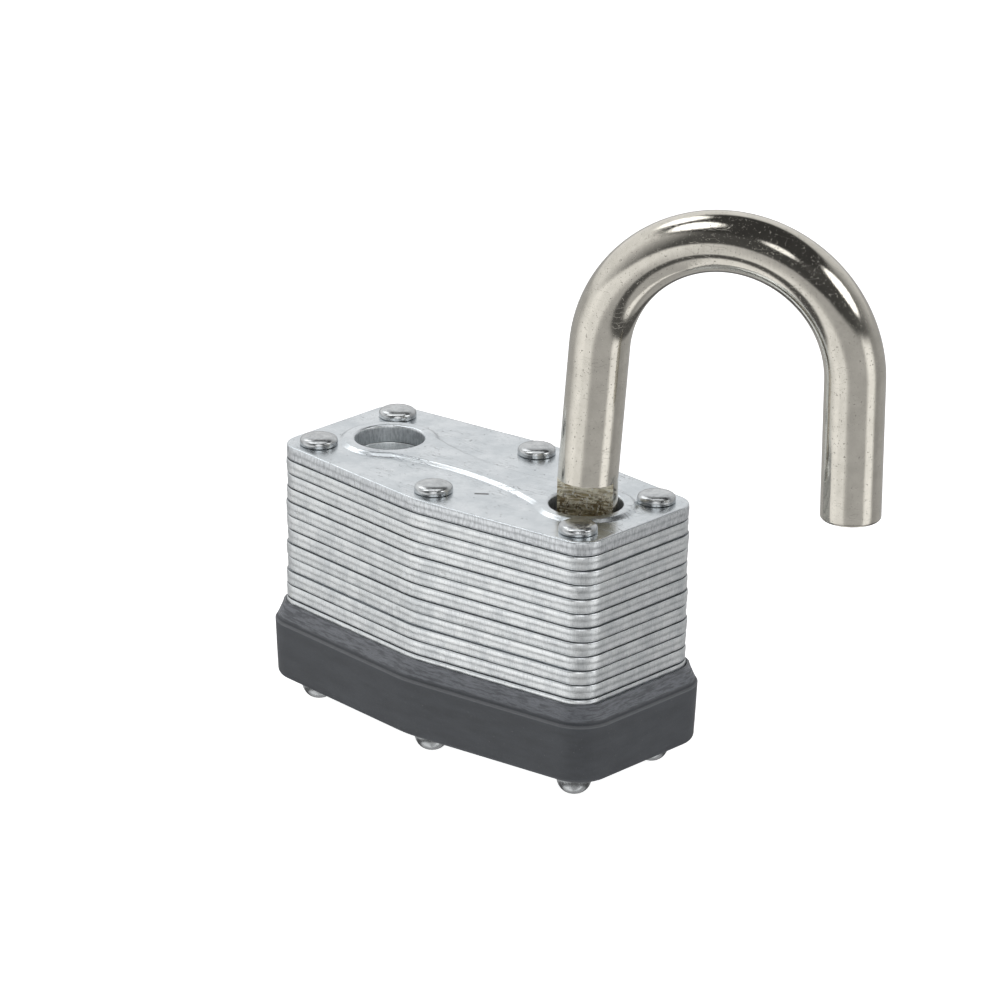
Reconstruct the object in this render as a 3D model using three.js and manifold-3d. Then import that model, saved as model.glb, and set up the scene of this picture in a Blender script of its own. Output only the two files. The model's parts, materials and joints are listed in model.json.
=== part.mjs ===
// A laminated steel padlock with a warded keyway, shown unlocked: the shackle is up and swung out.
// Millimetres, +Z up. The body's long axis is X, with the heel of the shackle at +X, and the front is -Y.
// The origin is on the underside of the bottom plate, at the middle of the body.
import * as THREE from 'three';
import { mergeVertices } from 'three/addons/utils/BufferGeometryUtils.js';
import Module from 'manifold-3d';

const wasm = await Module();
wasm.setup();

// ---------------------------------------------------------------- driving dimensions

// The body: seventeen plates of 1/16 in sheet, 1 3/4 in long
const PLATE_COUNT = 17;
const PLATE_THICKNESS = 1.5875;
const BODY_LENGTH = 44.45;
const END_HALF_WIDTH = 8.8; // where the end face and the slanted side would meet
const MID_HALF_WIDTH = 11.2; // where the two slanted sides would meet
const CORNER_RADIUS = 2.8;
const MID_RADIUS = 12.6;
const TOP_Z = PLATE_COUNT * PLATE_THICKNESS;

// The six rivets
const RIVET_RADIUS = 1.6;
const RIVET_HOLE_RADIUS = 1.95;
const RIVET_HEAD_RADIUS = 2.0;
const RIVET_TOP_HEIGHT = 1.0;
const RIVET_FOOT_HEIGHT = 2.3;
const COUNTERSINK_RADIUS = 2.35; // at the underside of the bottom plate, which the feet are driven into
const RIVET_PLACES = {
  rivet_front_left: [-18.7, -6.1],
  rivet_front_middle: [0, -8.0],
  rivet_front_right: [18.7, -6.1],
  rivet_back_left: [-18.7, 6.1],
  rivet_back_middle: [0, 8.0],
  rivet_back_right: [18.7, 6.1],
};

// The shackle, 1/4 in rod. Heights are above the top plate, with the shackle raised: it drops 7.5 to lock.
const ROD_RADIUS = 3.175;
const HEEL_X = 14.3; // middle of the heel hole
const TOE_X = -14.05; // middle of the toe hole
const SWING_X = 14.5; // the leg has play in its hole, and leans to the outer side of it
const LEG_SPACING = 28.1;
const SWING_ANGLE = THREE.MathUtils.degToRad(26.1); // from +X to the toe leg
const HEEL_LEAN = THREE.MathUtils.degToRad(4.05); // the legs spread a little towards their ends
const NOTCH_TOP = 3.2;
const NOTCH_BOTTOM = -1.3;
const NOTCH_FLAT = 1.2; // distance of the sheared flat from the leg's axis
const HEEL_STRAIGHT = 14.7; // leaning length between the notch and the bend
const TOE_END = 2.05;
const HEEL_END = -11.6;
const HEEL_CHAMFER = 0.4;
const LEG_OVERLAP = 0.3; // how far the straight and the leaning stretch of the heel leg run into each other
const LEVER_GROOVE = { top: -6.1, bottom: -8.2, radius: 1.9 };
const RING_GROOVE = { top: -9.825, bottom: -10.625, radius: 2.5 };

// Holes for the shackle
const HEEL_HOLE_RADIUS = 3.9;
const TOE_HOLE_RADIUS = 3.75;
const TOE_POCKET_PLATES = 4;
const SPRING_BORE_RADIUS = 4.8;
const LAST_NARROW_PLATE = 6; // the retaining ring comes to rest under this one

// Raised collar round both holes of the top plate
const COLLAR_HEIGHT = 0.35;
const COLLAR_RADIUS = 5.0;
const COLLAR_WAIST = 1.8;

// Parts on the heel leg
const RING_RADIUS = 4.2;
const RING_BORE = 2.7;
const CAP_RADIUS = 4.2;
const CAP_THICKNESS = 1.2;
const CAP_BOSS_RADIUS = 2.5;
const CAP_BOSS_HEIGHT = 1.5;
const CAP_GAP = 0.1;
const SPRING_MEAN_RADIUS = 3.3;
const SPRING_WIRE_RADIUS = 0.3;
const SPRING_TURNS = 6;

// The locking lever lies in a window of the fifth plate and turns on a pin
const LEVER_PLATE = 5;
const LEVER_THICKNESS = 1.3;
const LEVER_WITHDRAWN = THREE.MathUtils.degToRad(8);
const LEVER_PIVOT = [4.2, 5.2];
const PIN_RADIUS = 1.2;
const PIN_HOLE_RADIUS = 1.4;
const LEVER_BORE_RADIUS = 1.5;
const LEVER_SPRING_POCKET = 2.5;
const LEVER_SPRING_WIRE_RADIUS = 0.2;
const LEVER_SPRING_MEAN_RADIUS = 1.9;
const LEVER_SPRING_TURNS = 2.25;

// The keyway
const KEY_X = -6.5;
const KEY_CLEARANCE_RADIUS = 3.7;
const KEY_CORE_RADIUS = 1.6;
const KEY_SLOT_WIDTH = 1.8;
const KEY_SLOT_LENGTH = 6.8;
const DISC_BOSS_RADIUS = 4.5;
const DISC_FLANGE_RADIUS = 5.2;
const DISC_CLEARANCE = 0.3;
const DISC_END_GAP = 0.1;

// The moulded bumper: its section as distances outside the plates and heights
const BUMPER_GROOVE_PLATE = 14;
const BUMPER_GROOVE_DEPTH = 1.0;
const BOTTOM_PLATE_INSET = 0.8;
const BUMPER_SECTION = [
  [0.1, 9.05], [0.1, 6.2], [-0.8, 6.2], [-0.8, 4.9], [0.1, 4.9], [0.1, 1.45], [-0.6, 1.45],
  [-0.6, 0.45], [0.35, 0.45], [0.75, 0.75], [0.98, 1.3], [1.3, 6.9], [1.22, 7.1], [0.35, 8.95],
];

// Finishes
const zincPlate = { color: 0xc4c9cc, roughness: 0.38, metalness: 0.9 };
const zincRivet = { color: 0xcdd1d3, roughness: 0.25, metalness: 0.95 };
const nickelRod = { color: 0xb5afa6, roughness: 0.16, metalness: 1.0 };
const vinyl = { color: 0x45474a, roughness: 0.5, metalness: 0.0 };
const springSteel = { color: 0x8b8d90, roughness: 0.35, metalness: 0.9 };
const brass = { color: 0xb08d4a, roughness: 0.35, metalness: 0.9 };

// ---------------------------------------------------------------- geometry helpers

const UP = new THREE.Vector3(0, 0, 1);

function circle(x, y, radius, sides) {
  const outline = [];
  for (let i = 0; i < sides; i++) {
    const angle = ((i + 0.5) * 2 * Math.PI) / sides;
    outline.push(new THREE.Vector2(x + radius * Math.cos(angle), y + radius * Math.sin(angle)));
  }
  return outline;
}

function rectangle(x, y, width, depth) {
  const corners = [[-1, -1], [1, -1], [1, 1], [-1, 1]];
  return corners.map(([i, j]) => new THREE.Vector2(x + (i * width) / 2, y + (j * depth) / 2));
}

function points(list) {
  return list.map(([x, y]) => new THREE.Vector2(x, y));
}

// A prism with through holes that don't touch each other
function prism(outline, bottom, top, holes = []) {
  const shape = new THREE.Shape(outline);
  shape.holes = holes.map((hole) => new THREE.Path(hole));
  const geometry = new THREE.ExtrudeGeometry(shape, { depth: top - bottom, bevelEnabled: false });
  return geometry.translate(0, 0, bottom);
}

// A body of revolution about Z, from a list of [radius, height]
function turned(profile, sides) {
  const geometry = new THREE.LatheGeometry(points(profile), sides);
  return geometry.rotateX(Math.PI / 2);
}

function rod(path, radius, steps, sides) {
  const section = new THREE.Shape(circle(0, 0, radius, sides));
  return new THREE.ExtrudeGeometry(section, { steps, extrudePath: path, bevelEnabled: false });
}

function bare(geometry) {
  const copy = geometry.clone();
  copy.deleteAttribute('normal');
  copy.deleteAttribute('uv');
  return mergeVertices(copy, 1e-4);
}

function solid(geometry) {
  const merged = bare(geometry);
  return new wasm.Manifold(
    new wasm.Mesh({
      numProp: 3,
      vertProperties: new Float32Array(merged.attributes.position.array),
      triVerts: new Uint32Array(merged.index.array),
    }),
  );
}

function geometryOf(manifold) {
  const mesh = manifold.getMesh();
  const geometry = new THREE.BufferGeometry();
  geometry.setAttribute('position', new THREE.BufferAttribute(mesh.vertProperties, 3));
  geometry.setIndex(new THREE.BufferAttribute(mesh.triVerts, 1));
  return geometry;
}

function cut(geometry, ...tools) {
  return geometryOf(tools.reduce((body, tool) => body.subtract(solid(tool)), solid(geometry)));
}

function join(...geometries) {
  return geometryOf(geometries.map(solid).reduce((body, next) => body.add(next)));
}

function piece(name, geometry, finish) {
  geometry.computeVertexNormals();
  const mesh = new THREE.Mesh(geometry, new THREE.MeshStandardMaterial(finish));
  mesh.name = name;
  return mesh;
}

class Helix extends THREE.Curve {
  constructor(radius, bottom, top, turns) {
    super();
    Object.assign(this, { radius, bottom, top, turns });
  }

  getPoint(t, target = new THREE.Vector3()) {
    const angle = 2 * Math.PI * this.turns * t;
    const height = this.bottom + (this.top - this.bottom) * t;
    return target.set(this.radius * Math.cos(angle), this.radius * Math.sin(angle), height);
  }
}

// ---------------------------------------------------------------- plates

// Underside of the nth plate, counted from the top
function underside(n) {
  return TOP_Z - n * PLATE_THICKNESS;
}

// A convex polygon with each corner replaced by an arc
function rounded(corners, radii, steps) {
  const outline = [];
  corners.forEach((corner, i) => {
    const before = corners[(i + corners.length - 1) % corners.length];
    const after = corners[(i + 1) % corners.length];
    const back = before.clone().sub(corner).normalize();
    const ahead = after.clone().sub(corner).normalize();
    const half = Math.acos(back.dot(ahead)) / 2;
    const bisector = back.clone().add(ahead).normalize();
    const centre = corner.clone().addScaledVector(bisector, radii[i] / Math.sin(half));
    const start = corner.clone().addScaledVector(back, radii[i] / Math.tan(half)).sub(centre);
    const sweep = Math.PI - 2 * half;
    for (let k = 0; k <= steps[i]; k++) {
      const arm = start.clone().rotateAround(new THREE.Vector2(), (sweep * k) / steps[i]);
      outline.push(centre.clone().add(arm));
    }
  });
  return outline;
}

// The body's elongated hexagon, moved outwards by an offset
function bodyOutline(offset) {
  const halfLength = BODY_LENGTH / 2;
  const slope = (MID_HALF_WIDTH - END_HALF_WIDTH) / halfLength;
  const mid = MID_HALF_WIDTH + offset * Math.hypot(1, slope);
  const x = halfLength + offset;
  const end = mid - slope * x;
  const corners = points([[x, -end], [x, end], [0, mid], [-x, end], [-x, -end], [0, -mid]]);
  const corner = CORNER_RADIUS + offset;
  const middle = MID_RADIUS + offset;
  return rounded(corners, [corner, corner, middle, corner, corner, middle], [4, 4, 2, 4, 4, 2]);
}

function rivetHoles() {
  return Object.values(RIVET_PLACES).map(([x, y]) => circle(x, y, RIVET_HOLE_RADIUS, 6));
}

// Cones that open the rivet holes of the bottom plate downwards, and go a little past both of its faces
function countersinks() {
  const past = 0.2;
  const flare = ((COUNTERSINK_RADIUS - RIVET_HOLE_RADIUS) * past) / PLATE_THICKNESS;
  const profile = [[0, -past], [COUNTERSINK_RADIUS + flare, -past],
    [RIVET_HOLE_RADIUS - flare, PLATE_THICKNESS + past], [0, PLATE_THICKNESS + past]];
  return Object.values(RIVET_PLACES).map(([x, y]) => turned(profile, 6).translate(x, y, 0));
}

function heelHole(n) {
  const radius = n <= LAST_NARROW_PLATE ? HEEL_HOLE_RADIUS : SPRING_BORE_RADIUS;
  return circle(HEEL_X, 0, radius, 16);
}

// Two rings joined by a waist with concave sides, round the holes of the top plate
function collar() {
  const neck = COLLAR_RADIUS * Math.cos(Math.PI / 4);
  const middle = (HEEL_X + TOE_X) / 2;
  const reach = HEEL_X - middle;
  const outline = [];
  const quarter = 6;
  for (const side of [1, -1]) {
    for (let i = -quarter; i <= quarter; i++) {
      const angle = ((Math.PI * 3) / 4) * (i / quarter);
      const x = reach + COLLAR_RADIUS * Math.cos(angle);
      outline.push(new THREE.Vector2(middle + side * x, side * COLLAR_RADIUS * Math.sin(angle)));
    }
    for (let i = 1; i < quarter; i++) {
      const t = (2 * i) / quarter - 1;
      const x = -t * (reach - neck);
      const y = COLLAR_WAIST + (neck - COLLAR_WAIST) * t * t;
      outline.push(new THREE.Vector2(middle + side * x, side * y));
    }
  }
  const holes = [circle(HEEL_X, 0, HEEL_HOLE_RADIUS, 16), circle(TOE_X, 0, TOE_HOLE_RADIUS, 16)];
  return prism(outline, TOP_Z - COLLAR_HEIGHT, TOP_Z + COLLAR_HEIGHT, holes);
}

// The window that the lever swings in, open to the heel hole and to the end of the key
function leverWindow() {
  const outline = points([
    [-4.4, -0.8], [-1.6, -1.0], [4.0, 2.2], [10.9, 2.4], [16.1, 1.6], [16.1, 7.0], [11.6, 7.8],
    [5.2, 8.1], [3.4, 7.6], [-4.2, 2.0],
  ]);
  const bottom = underside(LEVER_PLATE) - 1;
  const top = underside(LEVER_PLATE - 1) + 1;
  return [prism(outline, bottom, top), prism(circle(KEY_X, 0, KEY_CLEARANCE_RADIUS, 16), bottom, top)];
}

// Every other plate is a ward: only the key's core and blade pass it
function keyHole(n) {
  if (n % 2 === 1) return circle(KEY_X, 0, KEY_CLEARANCE_RADIUS, 16);
  const halfWidth = KEY_SLOT_WIDTH / 2 + 0.1;
  const reach = KEY_SLOT_LENGTH / 2 + 0.1;
  const neck = Math.sqrt(KEY_CORE_RADIUS ** 2 - halfWidth ** 2);
  const outline = [];
  for (const side of [1, -1]) {
    for (const [x, y] of [[halfWidth, neck], [halfWidth, reach], [-halfWidth, reach], [-halfWidth, neck]]) {
      outline.push(new THREE.Vector2(KEY_X + side * x, side * y));
    }
    outline.push(new THREE.Vector2(KEY_X - side * KEY_CORE_RADIUS, 0));
  }
  return outline;
}

function plateHoles(n) {
  const holes = n < PLATE_COUNT ? [...rivetHoles(), heelHole(n)] : [];
  if (n <= TOE_POCKET_PLATES) holes.push(circle(TOE_X, 0, TOE_HOLE_RADIUS, 16));
  if (n === LEVER_PLATE - 1 || n === LEVER_PLATE + 2) holes.push(circle(...LEVER_PIVOT, PIN_HOLE_RADIUS, 10));
  if (n === LEVER_PLATE + 1) holes.push(circle(...LEVER_PIVOT, LEVER_SPRING_POCKET, 12));
  if (n > LEVER_PLATE && n < PLATE_COUNT - 1) holes.push(keyHole(n));
  if (n === PLATE_COUNT - 1) holes.push(circle(KEY_X, 0, DISC_FLANGE_RADIUS + DISC_CLEARANCE, 20));
  if (n === PLATE_COUNT) holes.push(circle(KEY_X, 0, DISC_BOSS_RADIUS + DISC_CLEARANCE, 20));
  return holes;
}

function plateInset(n) {
  if (n === BUMPER_GROOVE_PLATE) return BUMPER_GROOVE_DEPTH;
  if (n === PLATE_COUNT) return BOTTOM_PLATE_INSET;
  return 0;
}

function plate(n) {
  const blank = prism(bodyOutline(-plateInset(n)), underside(n), underside(n - 1), plateHoles(n));
  if (n === 1) return join(blank, collar());
  if (n === LEVER_PLATE) return cut(blank, ...leverWindow());
  if (n === PLATE_COUNT) return cut(blank, ...countersinks());
  return blank;
}

// ---------------------------------------------------------------- rivets and bumper

function rivet(x, y) {
  const profile = [
    [0, -RIVET_FOOT_HEIGHT],
    [0.9, -RIVET_FOOT_HEIGHT],
    [1.6, -0.72 * RIVET_FOOT_HEIGHT],
    [RIVET_HEAD_RADIUS, -0.25 * RIVET_FOOT_HEIGHT],
    [RIVET_HEAD_RADIUS, 0.1 * PLATE_THICKNESS],
    [RIVET_RADIUS, 0.8 * PLATE_THICKNESS],
    [RIVET_RADIUS, TOP_Z],
    [RIVET_HEAD_RADIUS, TOP_Z],
    [RIVET_HEAD_RADIUS, TOP_Z + 0.4 * RIVET_TOP_HEIGHT],
    [1.4, TOP_Z + RIVET_TOP_HEIGHT],
    [0, TOP_Z + RIVET_TOP_HEIGHT],
  ];
  return turned(profile, 12).translate(x, y, 0);
}

// A ring round the body: its section follows the body's outline
function bumper() {
  const rings = BUMPER_SECTION.map(([offset, z]) => bodyOutline(offset).map(({ x, y }) => [x, y, z]));
  const count = rings[0].length;
  const index = [];
  rings.forEach((ring, i) => {
    const next = (i + 1) % rings.length;
    for (let k = 0; k < count; k++) {
      const after = (k + 1) % count;
      const [a, b] = [i * count + k, i * count + after];
      const [c, d] = [next * count + after, next * count + k];
      index.push(a, b, c, a, c, d);
    }
  });
  const geometry = new THREE.BufferGeometry();
  geometry.setAttribute('position', new THREE.Float32BufferAttribute(rings.flat(2), 3));
  geometry.setIndex(index);
  return geometry;
}

// ---------------------------------------------------------------- shackle and what is on its heel leg

// The bow, a flat arc that starts at an angle from the toe and ends at the toe leg
class ShackleBend extends THREE.Curve {
  constructor(centre, radius, startAngle) {
    super();
    Object.assign(this, { centre, radius, startAngle });
  }

  getPoint(t, target = new THREE.Vector3()) {
    const angle = this.startAngle * (1 - t);
    target.set(Math.cos(angle), 0, Math.sin(angle));
    return target.multiplyScalar(this.radius).add(this.centre);
  }
}

// In the shackle's own frame the heel axis is Z, the toe leg is towards +X, and the top plate is at z = 0.
function shacklePath() {
  const lean = new THREE.Vector3(Math.sin(HEEL_LEAN), 0, Math.cos(HEEL_LEAN));
  const start = UP.clone().multiplyScalar(NOTCH_TOP).addScaledVector(lean, -LEG_OVERLAP);
  const spring = UP.clone().multiplyScalar(NOTCH_TOP).addScaledVector(lean, HEEL_STRAIGHT);
  const bendRadius = (LEG_SPACING - spring.x) / (1 + Math.cos(HEEL_LEAN));
  const centre = new THREE.Vector3(LEG_SPACING - bendRadius, 0, spring.z - bendRadius * Math.sin(HEEL_LEAN));
  const path = new THREE.CurvePath();
  path.add(new THREE.LineCurve3(start, spring));
  path.add(new ShackleBend(centre, bendRadius, Math.PI - HEEL_LEAN));
  const toe = new THREE.Vector3(LEG_SPACING, 0, centre.z);
  path.add(new THREE.LineCurve3(toe, new THREE.Vector3(LEG_SPACING, 0, TOE_END)));
  return path;
}

function shackle() {
  const profile = [
    [0, HEEL_END],
    [ROD_RADIUS - HEEL_CHAMFER, HEEL_END],
    [ROD_RADIUS, HEEL_END + HEEL_CHAMFER],
  ];
  for (const { top, bottom, radius } of [RING_GROOVE, LEVER_GROOVE]) {
    profile.push([ROD_RADIUS, bottom], [radius, bottom], [radius, top], [ROD_RADIUS, top]);
  }
  profile.push([ROD_RADIUS, NOTCH_TOP + LEG_OVERLAP], [0, NOTCH_TOP + LEG_OVERLAP]);
  const leg = turned(profile, 14);
  const bow = rod(shacklePath(), ROD_RADIUS, 36, 14);
  const notchHeight = NOTCH_TOP - NOTCH_BOTTOM;
  const notch = new THREE.BoxGeometry(4 * ROD_RADIUS, 2 * ROD_RADIUS, notchHeight);
  notch.translate(0, -NOTCH_FLAT - ROD_RADIUS, NOTCH_BOTTOM + notchHeight / 2);
  return cut(join(leg, bow), notch);
}

// An open snap ring in the groove at the foot of the heel leg
function retainingRing() {
  const outline = [];
  const halfGap = THREE.MathUtils.degToRad(32);
  const steps = 14;
  for (const [radius, from] of [[RING_RADIUS, 1], [RING_BORE, -1]]) {
    for (let i = 0; i <= steps; i++) {
      const angle = Math.PI + from * (Math.PI - halfGap) * ((2 * i) / steps - 1);
      outline.push(new THREE.Vector2(radius * Math.cos(angle), radius * Math.sin(angle)));
    }
  }
  return prism(outline, RING_GROOVE.bottom + 0.05, RING_GROOVE.top - 0.05);
}

function springCap() {
  const top = HEEL_END - CAP_GAP;
  const shoulder = top - CAP_THICKNESS;
  const foot = shoulder - CAP_BOSS_HEIGHT;
  return turned([[0, foot], [CAP_BOSS_RADIUS, foot], [CAP_BOSS_RADIUS, shoulder], [CAP_RADIUS, shoulder],
    [CAP_RADIUS, top], [0, top]], 16);
}

function shackleSpring() {
  const endGap = SPRING_WIRE_RADIUS + 0.1;
  const top = HEEL_END - CAP_GAP - CAP_THICKNESS - endGap;
  const bottom = underside(PLATE_COUNT - 1) - TOP_Z + endGap;
  const path = new Helix(SPRING_MEAN_RADIUS, bottom, top, SPRING_TURNS);
  return rod(path, SPRING_WIRE_RADIUS, SPRING_TURNS * 9, 5);
}

// ---------------------------------------------------------------- locking lever and keyway

// The lever in its locked place: the nose to the right enters the notch, and the key pushes the left arm
function lockingLever() {
  const outline = points([
    [-3.2, 0.6], [-2.4, 0.4], [3.6, 3.1], [5.4, 3.4], [11.6, 3.5], [12.5, 2.2], [15.2, 2.2], [15.6, 2.7],
    [15.6, 4.6], [11.5, 6.0], [5.2, 7.2], [3.2, 6.8], [-3.6, 1.5],
  ]);
  const [x, y] = LEVER_PIVOT;
  const middle = (underside(LEVER_PLATE) + underside(LEVER_PLATE - 1)) / 2;
  const half = LEVER_THICKNESS / 2;
  const holes = [circle(x, y, LEVER_BORE_RADIUS, 12)];
  return prism(outline, middle - half, middle + half, holes).translate(-x, -y, 0);
}

function leverPin() {
  const bottom = underside(LEVER_PLATE + 2) + 0.1;
  const top = underside(LEVER_PLATE - 2) - 0.1;
  return turned([[0, bottom], [PIN_RADIUS, bottom], [PIN_RADIUS, top], [0, top]], 12);
}

function leverSpring() {
  const endGap = LEVER_SPRING_WIRE_RADIUS + 0.1;
  const bottom = underside(LEVER_PLATE + 1) + endGap;
  const top = underside(LEVER_PLATE) - endGap;
  const path = new Helix(LEVER_SPRING_MEAN_RADIUS, bottom, top, LEVER_SPRING_TURNS);
  return rod(path, LEVER_SPRING_WIRE_RADIUS, Math.round(LEVER_SPRING_TURNS * 9), 5);
}

function keywayDisc() {
  const shoulder = PLATE_THICKNESS + DISC_END_GAP;
  const top = 2 * PLATE_THICKNESS - DISC_END_GAP;
  const disc = turned([[0, 0], [DISC_BOSS_RADIUS, 0], [DISC_BOSS_RADIUS, shoulder],
    [DISC_FLANGE_RADIUS, shoulder], [DISC_FLANGE_RADIUS, top], [0, top]], 20);
  return cut(disc, prism(rectangle(0, 0, KEY_SLOT_LENGTH, KEY_SLOT_WIDTH), -1, top + 1));
}

// ---------------------------------------------------------------- assembly

const padlock = new THREE.Group();

for (let n = 1; n <= PLATE_COUNT; n++) {
  padlock.add(piece(`plate_${String(n).padStart(2, '0')}`, plate(n), zincPlate));
}

for (const [name, [x, y]] of Object.entries(RIVET_PLACES)) {
  padlock.add(piece(name, rivet(x, y), zincRivet));
}

padlock.add(piece('bumper', bumper(), vinyl));

const heel = new THREE.Group();
heel.position.set(HEEL_X, 0, TOP_Z);
heel.add(piece('spring_cap', springCap(), brass));
heel.add(piece('shackle_spring', shackleSpring(), springSteel));
padlock.add(heel);

const swung = new THREE.Group();
swung.position.x = SWING_X - HEEL_X;
swung.rotation.z = SWING_ANGLE;
swung.add(piece('shackle', shackle(), nickelRod));
swung.add(piece('retaining_ring', retainingRing(), springSteel));
heel.add(swung);

const leverPivot = new THREE.Group();
leverPivot.position.set(...LEVER_PIVOT, 0);
leverPivot.add(piece('lever_pin', leverPin(), springSteel));
leverPivot.add(piece('lever_spring', leverSpring(), springSteel));
padlock.add(leverPivot);

const withdrawn = new THREE.Group();
withdrawn.rotation.z = LEVER_WITHDRAWN;
withdrawn.add(piece('locking_lever', lockingLever(), springSteel));
leverPivot.add(withdrawn);

const keyway = piece('keyway_disc', keywayDisc(), brass);
keyway.position.set(KEY_X, 0, 0);
padlock.add(keyway);

export default padlock;
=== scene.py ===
"""A laminated padlock, open and swung out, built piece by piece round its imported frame.

Lengths are in millimetres and become metres where a mesh is made. +Z is up, the body's long axis is X with
the heel of the shackle at +X, and the front is -Y. The middle of the bottom plate's underside is the origin.
"""
import json
import math
import random

import bmesh
import bpy
from mathutils import Matrix, Quaternion, Vector, noise

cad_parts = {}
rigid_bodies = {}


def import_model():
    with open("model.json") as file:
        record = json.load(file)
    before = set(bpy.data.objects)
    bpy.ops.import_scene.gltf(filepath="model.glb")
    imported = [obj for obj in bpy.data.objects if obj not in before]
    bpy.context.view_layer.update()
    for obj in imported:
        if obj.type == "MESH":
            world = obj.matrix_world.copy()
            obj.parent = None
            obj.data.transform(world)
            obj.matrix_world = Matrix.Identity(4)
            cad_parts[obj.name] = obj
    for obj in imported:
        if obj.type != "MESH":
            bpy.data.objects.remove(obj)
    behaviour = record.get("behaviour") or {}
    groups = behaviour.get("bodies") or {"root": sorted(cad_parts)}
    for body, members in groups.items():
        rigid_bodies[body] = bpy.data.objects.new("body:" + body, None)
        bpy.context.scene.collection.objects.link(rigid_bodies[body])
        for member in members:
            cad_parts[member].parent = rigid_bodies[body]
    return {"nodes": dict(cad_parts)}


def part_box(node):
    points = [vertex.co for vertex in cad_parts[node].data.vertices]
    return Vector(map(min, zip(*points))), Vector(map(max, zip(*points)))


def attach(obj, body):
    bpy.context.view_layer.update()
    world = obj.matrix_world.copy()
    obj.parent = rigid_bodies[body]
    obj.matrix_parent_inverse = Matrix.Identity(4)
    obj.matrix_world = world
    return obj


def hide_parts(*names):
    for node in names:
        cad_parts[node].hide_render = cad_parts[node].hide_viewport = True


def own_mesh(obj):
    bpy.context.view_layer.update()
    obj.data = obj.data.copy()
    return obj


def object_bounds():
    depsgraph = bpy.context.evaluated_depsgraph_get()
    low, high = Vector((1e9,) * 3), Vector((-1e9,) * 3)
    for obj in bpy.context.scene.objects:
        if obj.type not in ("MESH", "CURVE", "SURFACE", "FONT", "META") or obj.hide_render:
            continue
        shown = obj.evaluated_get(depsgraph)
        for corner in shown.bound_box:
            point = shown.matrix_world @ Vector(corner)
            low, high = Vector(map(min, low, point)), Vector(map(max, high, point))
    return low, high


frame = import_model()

cad_low, cad_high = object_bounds()

# ----------------------------------------------------------------------------------------------------------
# Studio: a long lens from the front right, a plain white floor under the rivet feet, and a tent of soft
# panels with lamps above and a dark gap below, which gives polished rod its light and dark stripes.

MM = 0.001
CAMERA_AZIMUTH = 42.61
CAMERA_ELEVATION = 20.686
CAMERA_DISTANCE = 609.5
CAMERA_TARGET = Vector((1.152, 1.059, 23.827))
CAMERA_LENS = 207
CAMERA_ROLL = 0.6
FLOOR_RADIUS = 4000
FLOOR_GLOW = 0.85

# What the panels send from each side, as (degrees to the right of the camera, brightness)
LOW_PANELS = [
    (-180, 0.45), (-150, 0.45), (-112, 0.52), (-95, 0.88), (-78, 1.12), (-66, 1.12), (-58, 1.00),
    (-36, 0.98), (-26, 0.60), (-18, 0.50), (40, 0.52), (50, 1.15), (70, 1.15), (84, 0.38), (95, 0.38),
    (112, 0.45), (180, 0.45),
]
HIGH_PANELS = [
    (-180, 0.92), (-120, 0.92), (-95, 0.90), (-70, 0.50), (-45, 0.10), (0, 0.06), (40, 0.08), (75, 0.15),
    (95, 0.30), (130, 0.70), (180, 0.92),
]
OVERHEAD = 0.05
DARK_BELOW = 0.10
# Where the rings and the gap below give way to each other, as heights of the direction from -1 to 1
LOW_TO_HIGH = (0.02, 0.16)
HIGH_TO_OVERHEAD = (0.62, 0.76)
INTO_GAP = (-0.80, -0.72)
OUT_OF_GAP = (-0.60, -0.52)
LAMP_EDGE = 3
# Soft lamps over the tent, as (degrees right of the camera, degrees up, half width in degrees, brightness)
SOFT_LAMPS = [(-85, 60, 13, 2.4), (-142, 48, 11, 2.4), (0, 44, 7, 1.6), (68, 33, 14, 2.6)]


def bearing(azimuth, elevation):
    """The unit vector from the object towards a bearing: azimuth 0 is the front, 90 the heel end."""
    turn = math.radians(azimuth)
    rise = math.radians(elevation)
    return Vector((math.sin(turn) * math.cos(rise), -math.cos(turn) * math.cos(rise), math.sin(rise)))


class Wire:
    """One output of a node. Sums on wires and numbers add Math nodes to the tree."""

    def __init__(self, bench, socket):
        self.bench = bench
        self.socket = socket

    def maths(self, operation, *values):
        return self.bench.node("ShaderNodeMath", {"operation": operation}, dict(enumerate(values)))

    def __add__(self, other):
        return self.maths("ADD", self, other)

    def __radd__(self, other):
        return self.maths("ADD", other, self)

    def __sub__(self, other):
        return self.maths("SUBTRACT", self, other)

    def __rsub__(self, other):
        return self.maths("SUBTRACT", other, self)

    def __mul__(self, other):
        return self.maths("MULTIPLY", self, other)

    def __rmul__(self, other):
        return self.maths("MULTIPLY", other, self)

    def __truediv__(self, other):
        return self.maths("DIVIDE", self, other)

    def __abs__(self):
        return self.maths("ABSOLUTE", self)

    def between(self, low, high):
        """0 at low, 1 at high, and a smooth step from one to the other."""
        sockets = {"Value": self, "From Min": low, "From Max": high}
        return self.bench.node("ShaderNodeMapRange", {"interpolation_type": "SMOOTHSTEP"}, sockets)


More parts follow.
